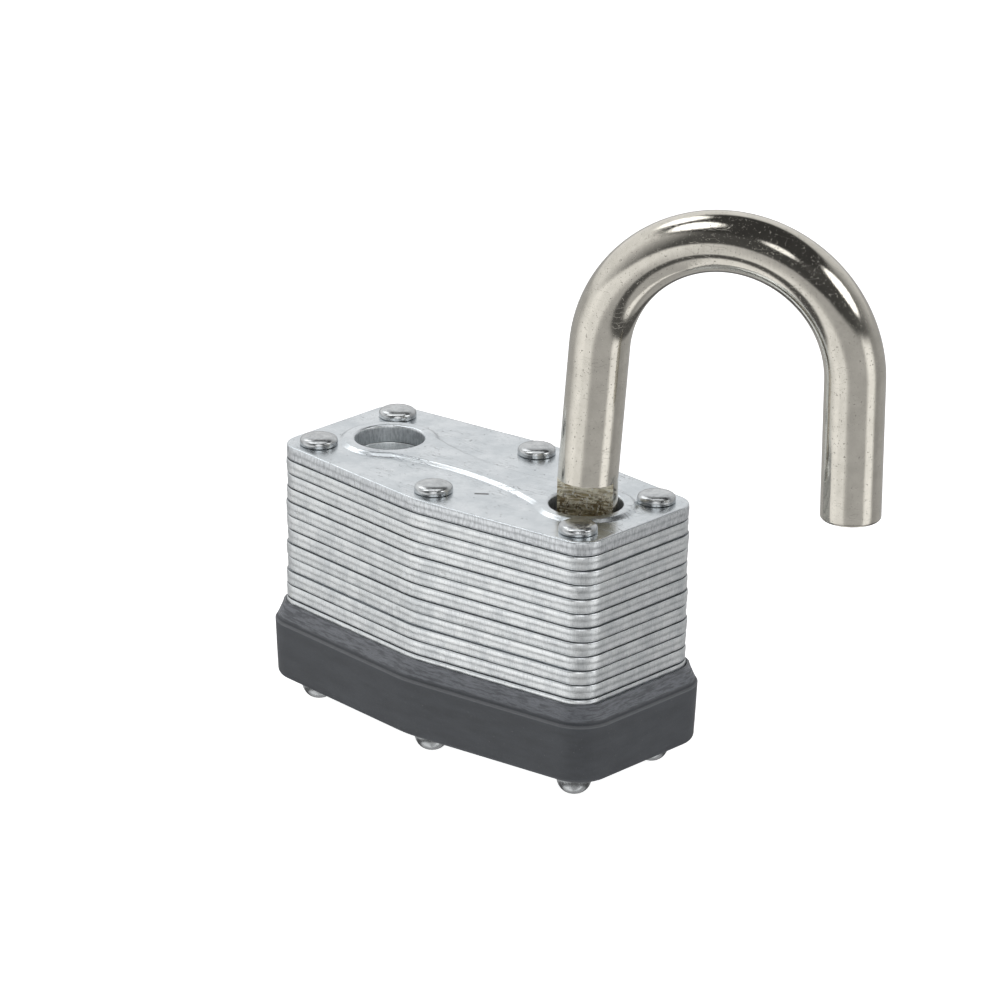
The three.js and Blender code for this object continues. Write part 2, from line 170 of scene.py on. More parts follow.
class Bench:
    """A node tree, and the one method that adds nodes to it."""

    def __init__(self, tree):
        self.tree = tree

    def node(self, kind, settings=None, sockets=None, out=0):
        made = self.tree.nodes.new(kind)
        for name, value in (settings or {}).items():
            if name == "stops":
                self.set_stops(made.color_ramp.elements, value)
            else:
                setattr(made, name, value)
        for key, value in (sockets or {}).items():
            self.feed(self.find(made.inputs, key), value)
        return Wire(self, self.find(made.outputs, out)) if made.outputs else None

    def find(self, sockets, key):
        if isinstance(key, int):
            return sockets[key]
        exact = [socket for socket in sockets if socket.identifier == key]
        return exact[0] if exact else sockets[key]

    def feed(self, socket, value):
        if isinstance(value, Wire):
            self.tree.links.new(value.socket, socket)
        else:
            socket.default_value = value

    def set_stops(self, elements, stops):
        while len(elements) < len(stops):
            elements.new(1.0)
        for element, (position, grey) in zip(elements, stops):
            element.position = position
            element.color = (grey, grey, grey, 1.0)

    def part(self, vector, axis):
        return self.node("ShaderNodeSeparateXYZ", None, {0: vector}, out=axis)

    def dot(self, first, second):
        sockets = {0: first, 1: second}
        return self.node("ShaderNodeVectorMath", {"operation": "DOT_PRODUCT"}, sockets, out="Value")

    def mix(self, factor, first, second):
        sockets = {"Factor_Float": factor, "A_Color": first, "B_Color": second}
        return self.node("ShaderNodeMix", {"data_type": "RGBA"}, sockets, out="Result_Color")


def light_tent():
    world = bpy.data.worlds.new("light tent")
    world.use_nodes = True
    world.node_tree.nodes.clear()
    bench = Bench(world.node_tree)
    ray = bench.node("ShaderNodeTexCoord", out="Generated")

    ahead = bench.dot(ray, bearing(CAMERA_AZIMUTH, 0))
    aside = bench.dot(ray, bearing(CAMERA_AZIMUTH + 90, 0))
    turn = aside.maths("ARCTAN2", aside, ahead) / (2 * math.pi) + 0.5

    def ring(panels):
        stops = [((degrees + 180) / 360, grey) for degrees, grey in panels]
        return bench.node("ShaderNodeValToRGB", {"stops": stops}, {"Fac": turn})

    height = bench.part(ray, "Z")
    sides = bench.mix(height.between(*LOW_TO_HIGH), ring(LOW_PANELS), ring(HIGH_PANELS))
    gap = height.between(*INTO_GAP) * (1 - height.between(*OUT_OF_GAP))
    sides = bench.mix(gap, sides, (DARK_BELOW, DARK_BELOW, DARK_BELOW, 1))
    whole = bench.mix(height.between(*HIGH_TO_OVERHEAD), sides, (OVERHEAD, OVERHEAD, OVERHEAD, 1))
    for right, up, half, grey in SOFT_LAMPS:
        closeness = bench.dot(ray, bearing(CAMERA_AZIMUTH + right, up))
        outside, inside = (math.cos(math.radians(half + edge)) for edge in (LAMP_EDGE, -LAMP_EDGE))
        lit = closeness.between(outside, inside)
        whole = bench.mix(lit, whole, (grey, grey, grey, 1))
    light = bench.node("ShaderNodeBackground", None, {"Color": whole})
    bench.node("ShaderNodeOutputWorld", None, {"Surface": light})
    return world


class Finish(Bench):
    """The node tree of a finish. What is the same all over sits on the shader's own sockets."""

    def __init__(self, name, **constants):
        self.material = bpy.data.materials.new(name)
        self.material.use_nodes = True
        self.material.node_tree.nodes.clear()
        super().__init__(self.material.node_tree)
        sockets = {key.replace("_", " "): value for key, value in constants.items()}
        shader = self.node("ShaderNodeBsdfPrincipled", None, sockets)
        self.shader = shader.socket.node
        self.node("ShaderNodeOutputMaterial", None, {"Surface": shader})
        place = self.node("ShaderNodeTexCoord", out="Object")
        self.place = self.stretched(place, (1 / MM, 1 / MM, 1 / MM))

    def give(self, **links):
        for key, value in links.items():
            self.feed(self.shader.inputs[key.replace("_", " ")], value)

    def stretched(self, vector, stretch, shift=(0, 0, 0)):
        sockets = {0: vector, 1: stretch, 2: shift}
        return self.node("ShaderNodeVectorMath", {"operation": "MULTIPLY_ADD"}, sockets)

    def cloud(self, scale, detail, roughness, stretch=None, shift=(0, 0, 0)):
        """Noise over the surface, which a stretch draws out into streaks."""
        place = self.stretched(self.place, stretch, shift) if stretch else self.place
        sockets = {"Vector": place, "Scale": scale, "Detail": detail, "Roughness": roughness}
        return self.node("ShaderNodeTexNoise", None, sockets, out="Fac")

    def level_share(self, low, high):
        """1 where the surface lies level, 0 where it stands upright."""
        facing = self.node("ShaderNodeNewGeometry", out="Normal")
        return abs(self.part(facing, "Z")).between(low, high)

    def bumped(self, height, depth):
        return self.node("ShaderNodeBump", None, {"Height": height, "Distance": depth * MM})


def studio_floor(height):
    paint = Finish("floor paint", Base_Color=(0.9, 0.9, 0.9, 1), Roughness=0.9, Specular_IOR_Level=0.0)
    paint.give(Emission_Color=(1, 1, 1, 1), Emission_Strength=FLOOR_GLOW)
    mesh = bpy.data.meshes.new("studio_floor")
    sides = [bearing(turn, 0) * FLOOR_RADIUS for turn in range(0, 360, 10)]
    corners = [((side + Vector((0, 0, height))) * MM) for side in sides]
    mesh.from_pydata(corners, [], [list(range(len(corners)))])
    mesh.materials.append(paint.material)
    floor = bpy.data.objects.new("studio_floor", mesh)
    bpy.context.collection.objects.link(floor)
    floor.visible_glossy = False
    return floor


def studio_camera():
    lens = bpy.data.cameras.new("camera")
    lens.lens = CAMERA_LENS
    lens.sensor_width = 36
    lens.clip_start = 0.01
    camera = bpy.data.objects.new("camera", lens)
    back = bearing(CAMERA_AZIMUTH, CAMERA_ELEVATION)
    camera.location = (CAMERA_TARGET + back * CAMERA_DISTANCE) * MM
    aim = (-back).to_track_quat("-Z", "Y") @ Quaternion((0, 0, 1), math.radians(CAMERA_ROLL))
    camera.rotation_euler = aim.to_euler()
    bpy.context.collection.objects.link(camera)
    return camera


bpy.context.scene.world = light_tent()
bpy.context.scene.view_settings.view_transform = "Standard"
bpy.context.scene.camera = studio_camera()
studio_floor(cad_low.z / MM)

# ----------------------------------------------------------------------------------------------------------
# Plates: seventeen stampings of 1/16 in steel, bright zinc plated. The punch rolls the upper edge over and
# leaves a burnished band below it and a torn, slightly smaller one under that. No two lie quite in line.

END_HALF_WIDTH = 8.8
MID_HALF_WIDTH = 11.2
CORNER_RADIUS = 2.8
MID_RADIUS = 12.6
EDGE_SPACING = 0.5
PLATE_DRIFT = 0.07
GROOVE_PLATE_INSET = 1.0
BOTTOM_PLATE_INSET = 0.8
TOE_X = -14.05
HEEL_HOLE_RADIUS = 3.9
TOE_HOLE_RADIUS = 3.75
SPRING_BORE_RADIUS = 4.8
RIVET_HOLE_RADIUS = 1.69
PIN_HOLE_RADIUS = 1.33
LEG_PLATES = 6
TOE_PLATES = 4
PIN_PLATES = (4, 7)
POCKET_PLATE = 6
WARD_PLATES = range(6, 16)
DISC_SEATS = {16: 5.5, 17: 4.8}
GROOVE_PLATE = 14
LEVER_PLATE = 5
LEVER_WINDOW = [
    (-4.4, -0.8), (-1.6, -1.0), (4.0, 2.2), (10.9, 2.4), (16.1, 1.6), (16.1, 7.0), (11.6, 7.8), (5.2, 8.1),
    (3.4, 7.6), (-4.2, 2.0),
]
SPRING_POCKET_RADIUS = 2.4
KEY_CLEARANCE_RADIUS = 3.7
KEY_CORE_RADIUS = 1.6
KEY_SLOT = (1.9, 7.0)
RIVET_PLACES = [(side * 18.7, row * 6.1) for side in (-1, 1) for row in (-1, 1)] + [(0, -8.0), (0, 8.0)]


def in_mm(corners):
    return [corner / MM for corner in corners]


plate_low, plate_high = in_mm(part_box("plate_02"))
PLATE_THICKNESS = plate_high.z - plate_low.z
BODY_TOP = plate_high.z + PLATE_THICKNESS
HALF_LENGTH = plate_high.x
PLATE_COUNT = round(BODY_TOP / PLATE_THICKNESS)
cap_low, cap_high = in_mm(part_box("spring_cap"))
HEEL_X = (cap_low.x + cap_high.x) / 2
disc_low, disc_high = in_mm(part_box("keyway_disc"))
KEY_X = (disc_low.x + disc_high.x) / 2
pin_low, pin_high = in_mm(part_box("lever_pin"))
LEVER_PIVOT = ((pin_low + pin_high) / 2).to_2d()

# A sheared edge from its upper corner down, as (how far in, how far down)
SHEARED_EDGE = [
    (0.45, 0), (0.19, 0), (0.10, 0.03), (0.03, 0.11), (0, 0.24), (0, 0.45), (0, 0.66), (0.035, 0.76),
    (0.04, 1.0), (0.04, 1.22), (0.05, 1.42), (0.11, PLATE_THICKNESS - 0.05), (0.19, PLATE_THICKNESS),
    (0.45, PLATE_THICKNESS),
]
PUNCHED_EDGE = [
    (0.3, 0), (0.14, 0), (0.05, 0.04), (0, 0.15), (0, PLATE_THICKNESS - 0.06), (0.05, PLATE_THICKNESS),
    (0.3, PLATE_THICKNESS),
]
BURNISHED = 0.5
EDGE_TURNS_FLAT = (0.35, 0.75)


def circle(centre, radius, sides=48):
    x, y = centre
    turns = [2 * math.pi * i / sides for i in range(sides)]
    return [Vector((x + radius * math.cos(turn), y + radius * math.sin(turn))) for turn in turns]


def rounded(corners, radii, steps=16):
    """A convex outline, anticlockwise, with each corner turned into an arc."""
    outline = []
    for i, corner in enumerate(corners):
        back = (corners[i - 1] - corner).normalized()
        ahead = (corners[(i + 1) % len(corners)] - corner).normalized()
        half = back.angle(ahead) / 2
        centre = corner + (back + ahead).normalized() * radii[i] / math.sin(half)
        arm = corner + back * radii[i] / math.tan(half) - centre
        for k in range(steps + 1):
            outline.append(centre + Matrix.Rotation((math.pi - 2 * half) * k / steps, 2) @ arm)
    return outline


def body_outline(offset=0.0):
    """The body's elongated hexagon, moved outwards by an offset."""
    slope = (MID_HALF_WIDTH - END_HALF_WIDTH) / HALF_LENGTH
    middle = MID_HALF_WIDTH + offset * math.hypot(1, slope)
    x = HALF_LENGTH + offset
    end = middle - slope * x
    places = ((x, -end), (x, end), (0, middle), (-x, end), (-x, -end), (0, -middle))
    corners = [Vector(place) for place in places]
    corner, bend = CORNER_RADIUS + offset, MID_RADIUS + offset
    return rounded(corners, [corner, corner, bend, corner, corner, bend])


def closely(outline, spacing=EDGE_SPACING):
    """The same outline with points no further apart than the spacing."""
    dense = []
    for place, following in zip(outline, outline[1:] + outline[:1]):
        parts = max(1, math.ceil((following - place).length / spacing))
        dense += [place.lerp(following, k / parts) for k in range(parts)]
    return dense


def moved_in(outline, insets):
    """Each point of an anticlockwise outline moved inwards by its own inset."""
    moved = []
    for i, place in enumerate(outline):
        before = (place - outline[i - 1]).normalized()
        after = (outline[(i + 1) % len(outline)] - place).normalized()
        inward = Vector((-before.y - after.y, before.x + after.x)).normalized()
        reach = max(0.35, inward.dot(Vector((-before.y, before.x))))
        moved.append(place + inward * insets[i] / reach)
    return moved


def ring(bm, outline, height):
    return [bm.verts.new((place.x, place.y, height)) for place in outline]


def skin(bm, upper, lower):
    """The faces between two rings of the same count."""
    upper_next, lower_next = upper[1:] + upper[:1], lower[1:] + lower[:1]
    return [bm.faces.new(corners) for corners in zip(upper, upper_next, lower_next, lower)]


def edge_wall(bm, outline, edge, top, inward=1, wear=None):
    """Rings down a cut edge, joined up. Returns the uppermost and the lowest ring."""
    rings = []
    for inset, drop in edge:
        insets = [inward * (inset + (wear(place, drop) if wear else 0)) for place in outline]
        rings.append(ring(bm, moved_in(outline, insets), top - drop))
    for upper, lower in zip(rings, rings[1:]):
        skin(bm, upper, lower)
    return rings[0], rings[-1]


def cap(bm, rings):
    """Fills the flat face between an outer ring and the rings of its holes."""
    edges = []
    for loop in rings:
        for first, second in zip(loop, loop[1:] + loop[:1]):
            edges.append(bm.edges.get((first, second)) or bm.edges.new((first, second)))
    bmesh.ops.triangle_fill(bm, use_beauty=True, edges=edges)


def shown(name, bm, finishes, crease=32):
    """Turns a mesh in millimetres into a piece in metres, smooth but for its creases."""
    bmesh.ops.recalc_face_normals(bm, faces=bm.faces)
    bm.transform(Matrix.Scale(MM, 4))
    mesh = bpy.data.meshes.new(name)
    bm.to_mesh(mesh)
    bm.free()
    return placed(name, mesh, finishes, crease)


def placed(name, mesh, finishes, crease=32):
    mesh.shade_smooth()
    mesh.set_sharp_from_angle(angle=math.radians(crease))
    for finish in finishes:
        mesh.materials.append(finish.material)
    made = bpy.data.objects.new(name, mesh)
    bpy.context.collection.objects.link(made)
    return made


def sheared_wear(number):
    """How unevenly one plate's edge was cut: a soft wave, and a rough torn band in its lower part."""
    def wear(place, drop):
        wave = noise.noise(Vector((place.x * 0.25, place.y * 0.25, number * 5.3)))
        tear = noise.noise(Vector((place.x * 1.9, place.y * 1.9, number * 3.1 + drop)))
        return 0.025 * wave + (0.035 * tear if drop > BURNISHED else 0)
    return wear


def key_hole(number):
    """Odd plates let the whole key turn. Even ones are wards, which only its core and blade pass."""
    if number % 2:
        return circle((KEY_X, 0), KEY_CLEARANCE_RADIUS)
    half, reach = KEY_SLOT[0] / 2, KEY_SLOT[1] / 2
    neck = math.asin(half / KEY_CORE_RADIUS)
    turns = [math.pi / 2 - neck - (math.pi - 2 * neck) * k / 12 for k in range(13)]
    flank = [Vector((KEY_CORE_RADIUS * math.cos(turn), KEY_CORE_RADIUS * math.sin(turn))) for turn in turns]
    half_hole = [Vector((half, reach)), *flank, Vector((half, -reach))]
    whole = half_hole + [-place for place in half_hole]
    return [place + Vector((KEY_X, 0)) for place in reversed(whole)]


def plate_holes(number):
    holes = [circle(place, RIVET_HOLE_RADIUS, 24) for place in RIVET_PLACES]
    if number < PLATE_COUNT:
        bore = HEEL_HOLE_RADIUS if number <= LEG_PLATES else SPRING_BORE_RADIUS
        holes.append(circle((HEEL_X, 0), bore, 72))
    if number <= TOE_PLATES:
        holes.append(circle((TOE_X, 0), TOE_HOLE_RADIUS, 72))
    if number in PIN_PLATES:
        holes.append(circle(LEVER_PIVOT, PIN_HOLE_RADIUS, 24))
    if number == POCKET_PLATE:
        holes.append(circle(LEVER_PIVOT, SPRING_POCKET_RADIUS, 32))
    if number in WARD_PLATES:
        holes.append(key_hole(number))
    if number in DISC_SEATS:
        holes.append(circle((KEY_X, 0), DISC_SEATS[number]))
    return holes


def zinc_plate():
    """Bright zinc: streaked where it was sheared, softly blotched where it is flat, with painted shade in the
    seams.
    """
    zinc = Finish("bright zinc plate", Metallic=1.0)
    level = zinc.part(zinc.place, "Z") / PLATE_THICKNESS
    number = level.maths("FLOOR", level)
    within = level.maths("FRACT", level)
    chance = zinc.node("ShaderNodeTexWhiteNoise", {"noise_dimensions": "1D"}, {"W": number}, out="Value")
    upright = 1 - zinc.level_share(*EDGE_TURNS_FLAT)
    shift = chance * 40  # so that no two plates share a pattern
    fine = zinc.cloud(8.5, 3.0, 0.65, (1, 1, 0.2), shift)
    broad = zinc.cloud(0.45, 4.0, 0.65, (1, 1, 0.5), shift)
    blotch = zinc.cloud(0.45, 5.0, 0.7, (1, 1, 1), shift)
    speck = zinc.cloud(6.5, 2.0, 0.6).between(0.66, 0.72)
    burnished = within.between(0.42, 0.55)
    # painted shade: the top and bottom edge bands of each plate's side are darkened nearly to black where the
    # plates meet
    painted_seam_shade = within.between(0.955, 0.98) + (1 - within.between(0.02, 0.045))
    level_face = zinc.level_share(0.95, 0.99)
    streak = fine * 0.45 + broad * 0.55
    smear = zinc.cloud(1.3, 4.0, 0.7, (0.5, 0.5, 1.2), shift).between(0.60, 0.72)
    bright = zinc.mix(streak.between(0.36, 0.62), (0.70, 0.73, 0.745, 1), (0.95, 0.975, 0.98, 1))
    smeared = zinc.mix(smear * 0.35, bright, (0.40, 0.41, 0.41, 1))
    flat = zinc.mix(blotch.between(0.3, 0.7), (0.58, 0.62, 0.65, 1), (0.72, 0.755, 0.785, 1))
    clean = zinc.mix(upright, flat, smeared)
    spotted = zinc.mix(speck * 0.5, clean, (0.30, 0.31, 0.32, 1))
    seam_shaded = zinc.mix(painted_seam_shade * (1 - level_face) * (0.80 + 0.20 * chance), spotted, (0.02, 0.021, 0.022, 1))
    zinc.give(Base_Color=seam_shaded)
    worn = 0.27 + 0.14 * blotch + upright * (0.10 * smear + 0.08 * (1 - burnished))
    zinc.give(Roughness=worn)
    grain = zinc.cloud(8.0, 2.0, 0.6)
    relief = upright * (streak + 0.8 * grain) + 0.25 * blotch
    zinc.give(Normal=zinc.bumped(relief, 0.022))
    return zinc


def carved(bm, outlines, bottom, top):
    """Cuts prisms out of a plate, for an opening that runs into its holes."""
    blocks = []
    for outline in outlines:
        block = bmesh.new()
        upper, lower = ring(block, outline, top), ring(block, outline, bottom)
        skin(block, upper, lower)
        block.faces.new(upper)
        block.faces.new(reversed(lower))
        blocks.append(block)
    solids = []
    for block in [bm, *blocks]:
        bmesh.ops.recalc_face_normals(block, faces=block.faces)
        mesh = bpy.data.meshes.new("blank")
        block.to_mesh(mesh)
        block.free()
        solids.append(bpy.data.objects.new("blank", mesh))
        bpy.context.collection.objects.link(solids[-1])
    for solid in solids[1:]:
        bite = solids[0].modifiers.new("bite", "BOOLEAN")
        bite.object = solid
        bite.solver = "EXACT"
    graph = bpy.context.evaluated_depsgraph_get()
    opened = bmesh.new()
    opened.from_mesh(solids[0].evaluated_get(graph).to_mesh())
    solids[0].evaluated_get(graph).to_mesh_clear()
    for solid in solids:
        bpy.data.objects.remove(solid)
    return opened


def plate(number, finish):
    """A plain plate. The one that the bumper's rib sits in and the bottom one are smaller all round."""
    inset = {GROOVE_PLATE: GROOVE_PLATE_INSET, PLATE_COUNT: BOTTOM_PLATE_INSET}.get(number, 0)
    top = BODY_TOP - (number - 1) * PLATE_THICKNESS
    bm = bmesh.new()
    outline = closely(body_outline(-inset))
    walls = [edge_wall(bm, outline, SHEARED_EDGE, top, 1, sheared_wear(number))]
    walls += [edge_wall(bm, hole, PUNCHED_EDGE, top, -1) for hole in plate_holes(number)]
    uppers, lowers = zip(*walls)
    cap(bm, uppers)
    cap(bm, lowers)
    if number == LEVER_PLATE:
        openings = [[Vector(place) for place in LEVER_WINDOW], circle((KEY_X, 0), KEY_CLEARANCE_RADIUS)]
        bm = carved(bm, openings, top - PLATE_THICKNESS - 1, top + 1)
    bm.transform(drift(number))
    return shown(f"zinc_plate_{number:02d}", bm, [finish])


def drift(number):
    """How far out of line a plate was riveted."""
    chance = random.Random(number * 17 + 5)
    slip = Vector((chance.uniform(-1, 1), chance.uniform(-1, 1), 0)) * PLATE_DRIFT
    return Matrix.Translation(slip)


zinc_finish = zinc_plate()
for number in range(2, PLATE_COUNT + 1):
    made = plate(number, zinc_finish)
    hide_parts(f"plate_{number:02d}")
    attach(made, "case")

# ----------------------------------------------------------------------------------------------------------
# Top plate: the same steel, with a dog-bone collar pressed up round the two shackle holes. The press leaves
# soft flanks, a rolled rim at each hole, and handling scratches on the flat.

COLLAR_HEIGHT = 0.35
COLLAR_RADIUS = 5.0
COLLAR_WAIST = 1.8
FLANK = (-0.25, 0.60)
NICK = (4.2, -5.1)
NICK_WAYS = ((0.78, 0.63, 0), (-0.63, 0.78, 0))
RIM = [(0.34, 0), (0.24, 0.0), (0.10, 0.06), (0.02, 0.16), (0, 0.32)]


def collar_outline(offset):
    """Two rings joined by a waist with concave sides."""
    radius, waist = COLLAR_RADIUS + offset, COLLAR_WAIST + offset
    neck = radius * math.cos(math.pi / 4)
    middle = (HEEL_X + TOE_X) / 2
    reach = HEEL_X - middle
    outline = []
    for side in (1, -1):
        for k in range(-36, 37):
            turn = math.radians(135) * k / 36
            place = Vector((reach + radius * math.cos(turn), radius * math.sin(turn)))
            outline.append(side * place + Vector((middle, 0)))
        for k in range(1, 36):
            along = k / 18 - 1
            place = Vector((-along * (reach - neck), waist + (neck - waist) * along * along))
            outline.append(side * place + Vector((middle, 0)))
    return outline


def top_finish():
    """Flat satin zinc: faint rolling lines, a few long scratches, small dark pits and one nick."""
    zinc = Finish("satin zinc plate", Metallic=1.0)
    blotch = zinc.cloud(0.35, 4.0, 0.65)
    rolled = zinc.cloud(1.6, 3.0, 0.6, (0.12, 2.6, 1))
    speck = zinc.cloud(3.1, 2.0, 0.5).between(0.70, 0.76)
    scratch = abs(zinc.cloud(0.9, 1.0, 0.4, (0.35, 2.4, 1), (11, 0, 0)) - 0.5).between(0.012, 0.0)
    patch = zinc.cloud(0.22, 1.0, 0.5).between(0.50, 0.62)
    mark = scratch * patch
    base = zinc.mix(blotch.between(0.3, 0.7), (0.60, 0.64, 0.67, 1), (0.74, 0.775, 0.80, 1))
    from_nick = zinc.stretched(zinc.place, (1, 1, 0), (-NICK[0], -NICK[1], 0))
    along, across = (abs(zinc.dot(from_nick, way)) for way in NICK_WAYS)
    nick = along.between(0.85, 0.65) * across.between(0.26, 0.14)
    stain = mark * 0.6 + speck * 0.6
    marked = zinc.mix(stain.maths("MAXIMUM", stain, nick), base, (0.10, 0.10, 0.105, 1))
    upright = 1 - zinc.level_share(*EDGE_TURNS_FLAT)
    streak = zinc.cloud(4.5, 3.0, 0.65, (1, 1, 0.3))
    edge = zinc.mix(streak.between(0.34, 0.64), (0.60, 0.625, 0.645, 1), (0.84, 0.865, 0.885, 1))
    zinc.give(Base_Color=zinc.mix(upright, marked, edge))
    zinc.give(Roughness=0.19 + 0.08 * blotch + 0.05 * rolled + 0.16 * upright)
    relief = 0.35 * rolled + 0.5 * blotch - 0.8 * mark - 0.6 * speck + upright * streak * 0.5
    zinc.give(Normal=zinc.bumped(relief, 0.02))
    return zinc


def top_plate(finish):
    bm = bmesh.new()
    wear = sheared_wear(1)
    outline = closely(body_outline())
    plain = [edge_wall(bm, outline, SHEARED_EDGE, BODY_TOP, 1, wear)]
    plain += [edge_wall(bm, circle(place, RIVET_HOLE_RADIUS, 24), PUNCHED_EDGE, BODY_TOP, -1)
              for place in RIVET_PLACES]
    rim = RIM + [(0, COLLAR_HEIGHT + PLATE_THICKNESS - 0.06), (0.05, COLLAR_HEIGHT + PLATE_THICKNESS)]
    raised = BODY_TOP + COLLAR_HEIGHT
    eyes = [edge_wall(bm, circle(place, radius, 96), rim, raised, -1)
            for place, radius in (((HEEL_X, 0), HEEL_HOLE_RADIUS), ((TOE_X, 0), TOE_HOLE_RADIUS))]
    rings = []
    for k in range(-1, 14):
        share = min(1, max(0, k / 12))
        offset = FLANK[0] + (FLANK[1] - FLANK[0]) * k / 12
        rise = COLLAR_HEIGHT * (1 + math.cos(math.pi * share)) / 2
        rings.append(ring(bm, collar_outline(offset), BODY_TOP + rise))
    for upper, lower in zip(rings, rings[1:]):
        skin(bm, upper, lower)
    cap(bm, [rings[0]] + [upper for upper, lower in eyes])
    cap(bm, [rings[-1]] + [upper for upper, lower in plain])
    cap(bm, [lower for upper, lower in plain + eyes])
    return shown("top_plate", bm, [finish])


made = top_plate(top_finish())
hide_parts("plate_01")
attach(made, "case")

# ----------------------------------------------------------------------------------------------------------
# Rivets: six soft steel pins, zinc plated like the plates. They go through the whole stack, with a low button
# head on the top plate and a longer round foot, spun over in a countersink, under the bottom plate.

RIVET_RADIUS = 1.6
HEAD_RADIUS = 2.05
FOOT_RADIUS = 1.95
COLUMN_SPACING = 37.4
ROW_SPACING = 12.2
MIDDLE_SPREAD = 1.9
DENT = 0.02
rivet_low, rivet_high = in_mm(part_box("rivet_front_left"))


class Pattern(Bench):
    """A Geometry Nodes tree with named inputs, grown on a carrier mesh and baked to a plain piece."""

    def __init__(self, name):
        super().__init__(bpy.data.node_groups.new(name, "GeometryNodeTree"))
        for side in ("INPUT", "OUTPUT"):
            self.tree.interface.new_socket("Geometry", in_out=side, socket_type="NodeSocketGeometry")
        self.inlet = self.tree.nodes.new("NodeGroupInput")
        self.values = {}
        self.carrier = Wire(self, self.inlet.outputs[0])

    def size(self, name, value, kind="NodeSocketFloat"):
        made = self.tree.interface.new_socket(name, in_out="INPUT", socket_type=kind)
        self.values[made.identifier] = value
        return Wire(self, self.find(self.inlet.outputs, made.identifier))

    def pushed(self, geometry, **offsets):
        push = self.node("ShaderNodeCombineXYZ", None, offsets)
        return self.node("GeometryNodeSetPosition", None, {"Geometry": geometry, "Offset": push})

    def bake(self, name, carrier, grown, finish, crease=32):
        plain = self.node("GeometryNodeRealizeInstances", None, {"Geometry": grown})
        clad = self.node("GeometryNodeSetMaterial", None, {"Geometry": plain, "Material": finish.material})
        self.node("NodeGroupOutput", None, {0: clad})
        bearer = bpy.data.objects.new(name + "_carrier", carrier)
        bpy.context.collection.objects.link(bearer)
        growth = bearer.modifiers.new(name, "NODES")
        growth.node_group = self.tree
        for identifier, value in self.values.items():
            growth[identifier] = value
        graph = bpy.context.evaluated_depsgraph_get()
        mesh = bpy.data.meshes.new_from_object(bearer.evaluated_get(graph), depsgraph=graph)
        bearer.modifiers.remove(growth)
        bpy.data.objects.remove(bearer)
        outward = bmesh.new()
        outward.from_mesh(mesh)
        bmesh.ops.recalc_face_normals(outward, faces=outward.faces)
        outward.to_mesh(mesh)
        outward.free()
        mesh.materials.clear()
        return placed(name, mesh, [finish], crease)


def lathe_line(name, profile):
    """A carrier for a turned part: a line up its axis whose points hold the radius there."""
    mesh = bpy.data.meshes.new(name)
    places = [(0, 0, z * MM) for z, radius in profile]
    mesh.from_pydata(places, [(i, i + 1) for i in range(len(profile) - 1)], [])
    radii = mesh.attributes.new("radius", "FLOAT", "POINT")
    radii.data.foreach_set("value", [radius * MM for z, radius in profile])
    return mesh


def rivet_profile():
    """Heights and radii from the foot's tip to the top of the head."""
    foot = -rivet_low.z
    head = rivet_high.z - BODY_TOP
    turns = [math.radians(4 + 86 * k / 12) for k in range(13)]
    dome = [(-foot * math.cos(turn) ** 0.9, FOOT_RADIUS * math.sin(turn) ** 0.8) for turn in turns]
    shank = [(0.1, FOOT_RADIUS), (0.8 * PLATE_THICKNESS, RIVET_RADIUS), (BODY_TOP - 0.01, RIVET_RADIUS)]
    corner = ((0.005, 0.1), (0.08, 0), (0.3 * head, 0))
    rim = [(BODY_TOP + rise, HEAD_RADIUS - inset) for rise, inset in corner]
    button = [(BODY_TOP + head * (0.3 + 0.7 * math.sin(turn) ** 0.75), HEAD_RADIUS * math.cos(turn) ** 0.62)
              for turn in [math.radians(k * 7.4) for k in range(1, 12)]]
    return [(-foot, 0.02), *dome, *shank, *rim, *button, (BODY_TOP + head, 0.02)]


def rivet_finish():
    """Zinc on a turned pin: smoother and a little darker than the plates, with soft dents."""
    zinc = Finish("rivet zinc", Metallic=1.0)
    blotch = zinc.cloud(0.9, 4.0, 0.6)
    speck = zinc.cloud(4.5, 2.0, 0.6).between(0.64, 0.72)
    base = zinc.mix(blotch.between(0.3, 0.7), (0.46, 0.475, 0.485, 1), (0.62, 0.64, 0.65, 1))
    zinc.give(Base_Color=zinc.mix(speck * 0.5, base, (0.30, 0.31, 0.32, 1)))
    zinc.give(Roughness=0.18 + 0.10 * blotch)
    zinc.give(Normal=zinc.bumped(blotch + 0.3 * speck, 0.03))
    return zinc


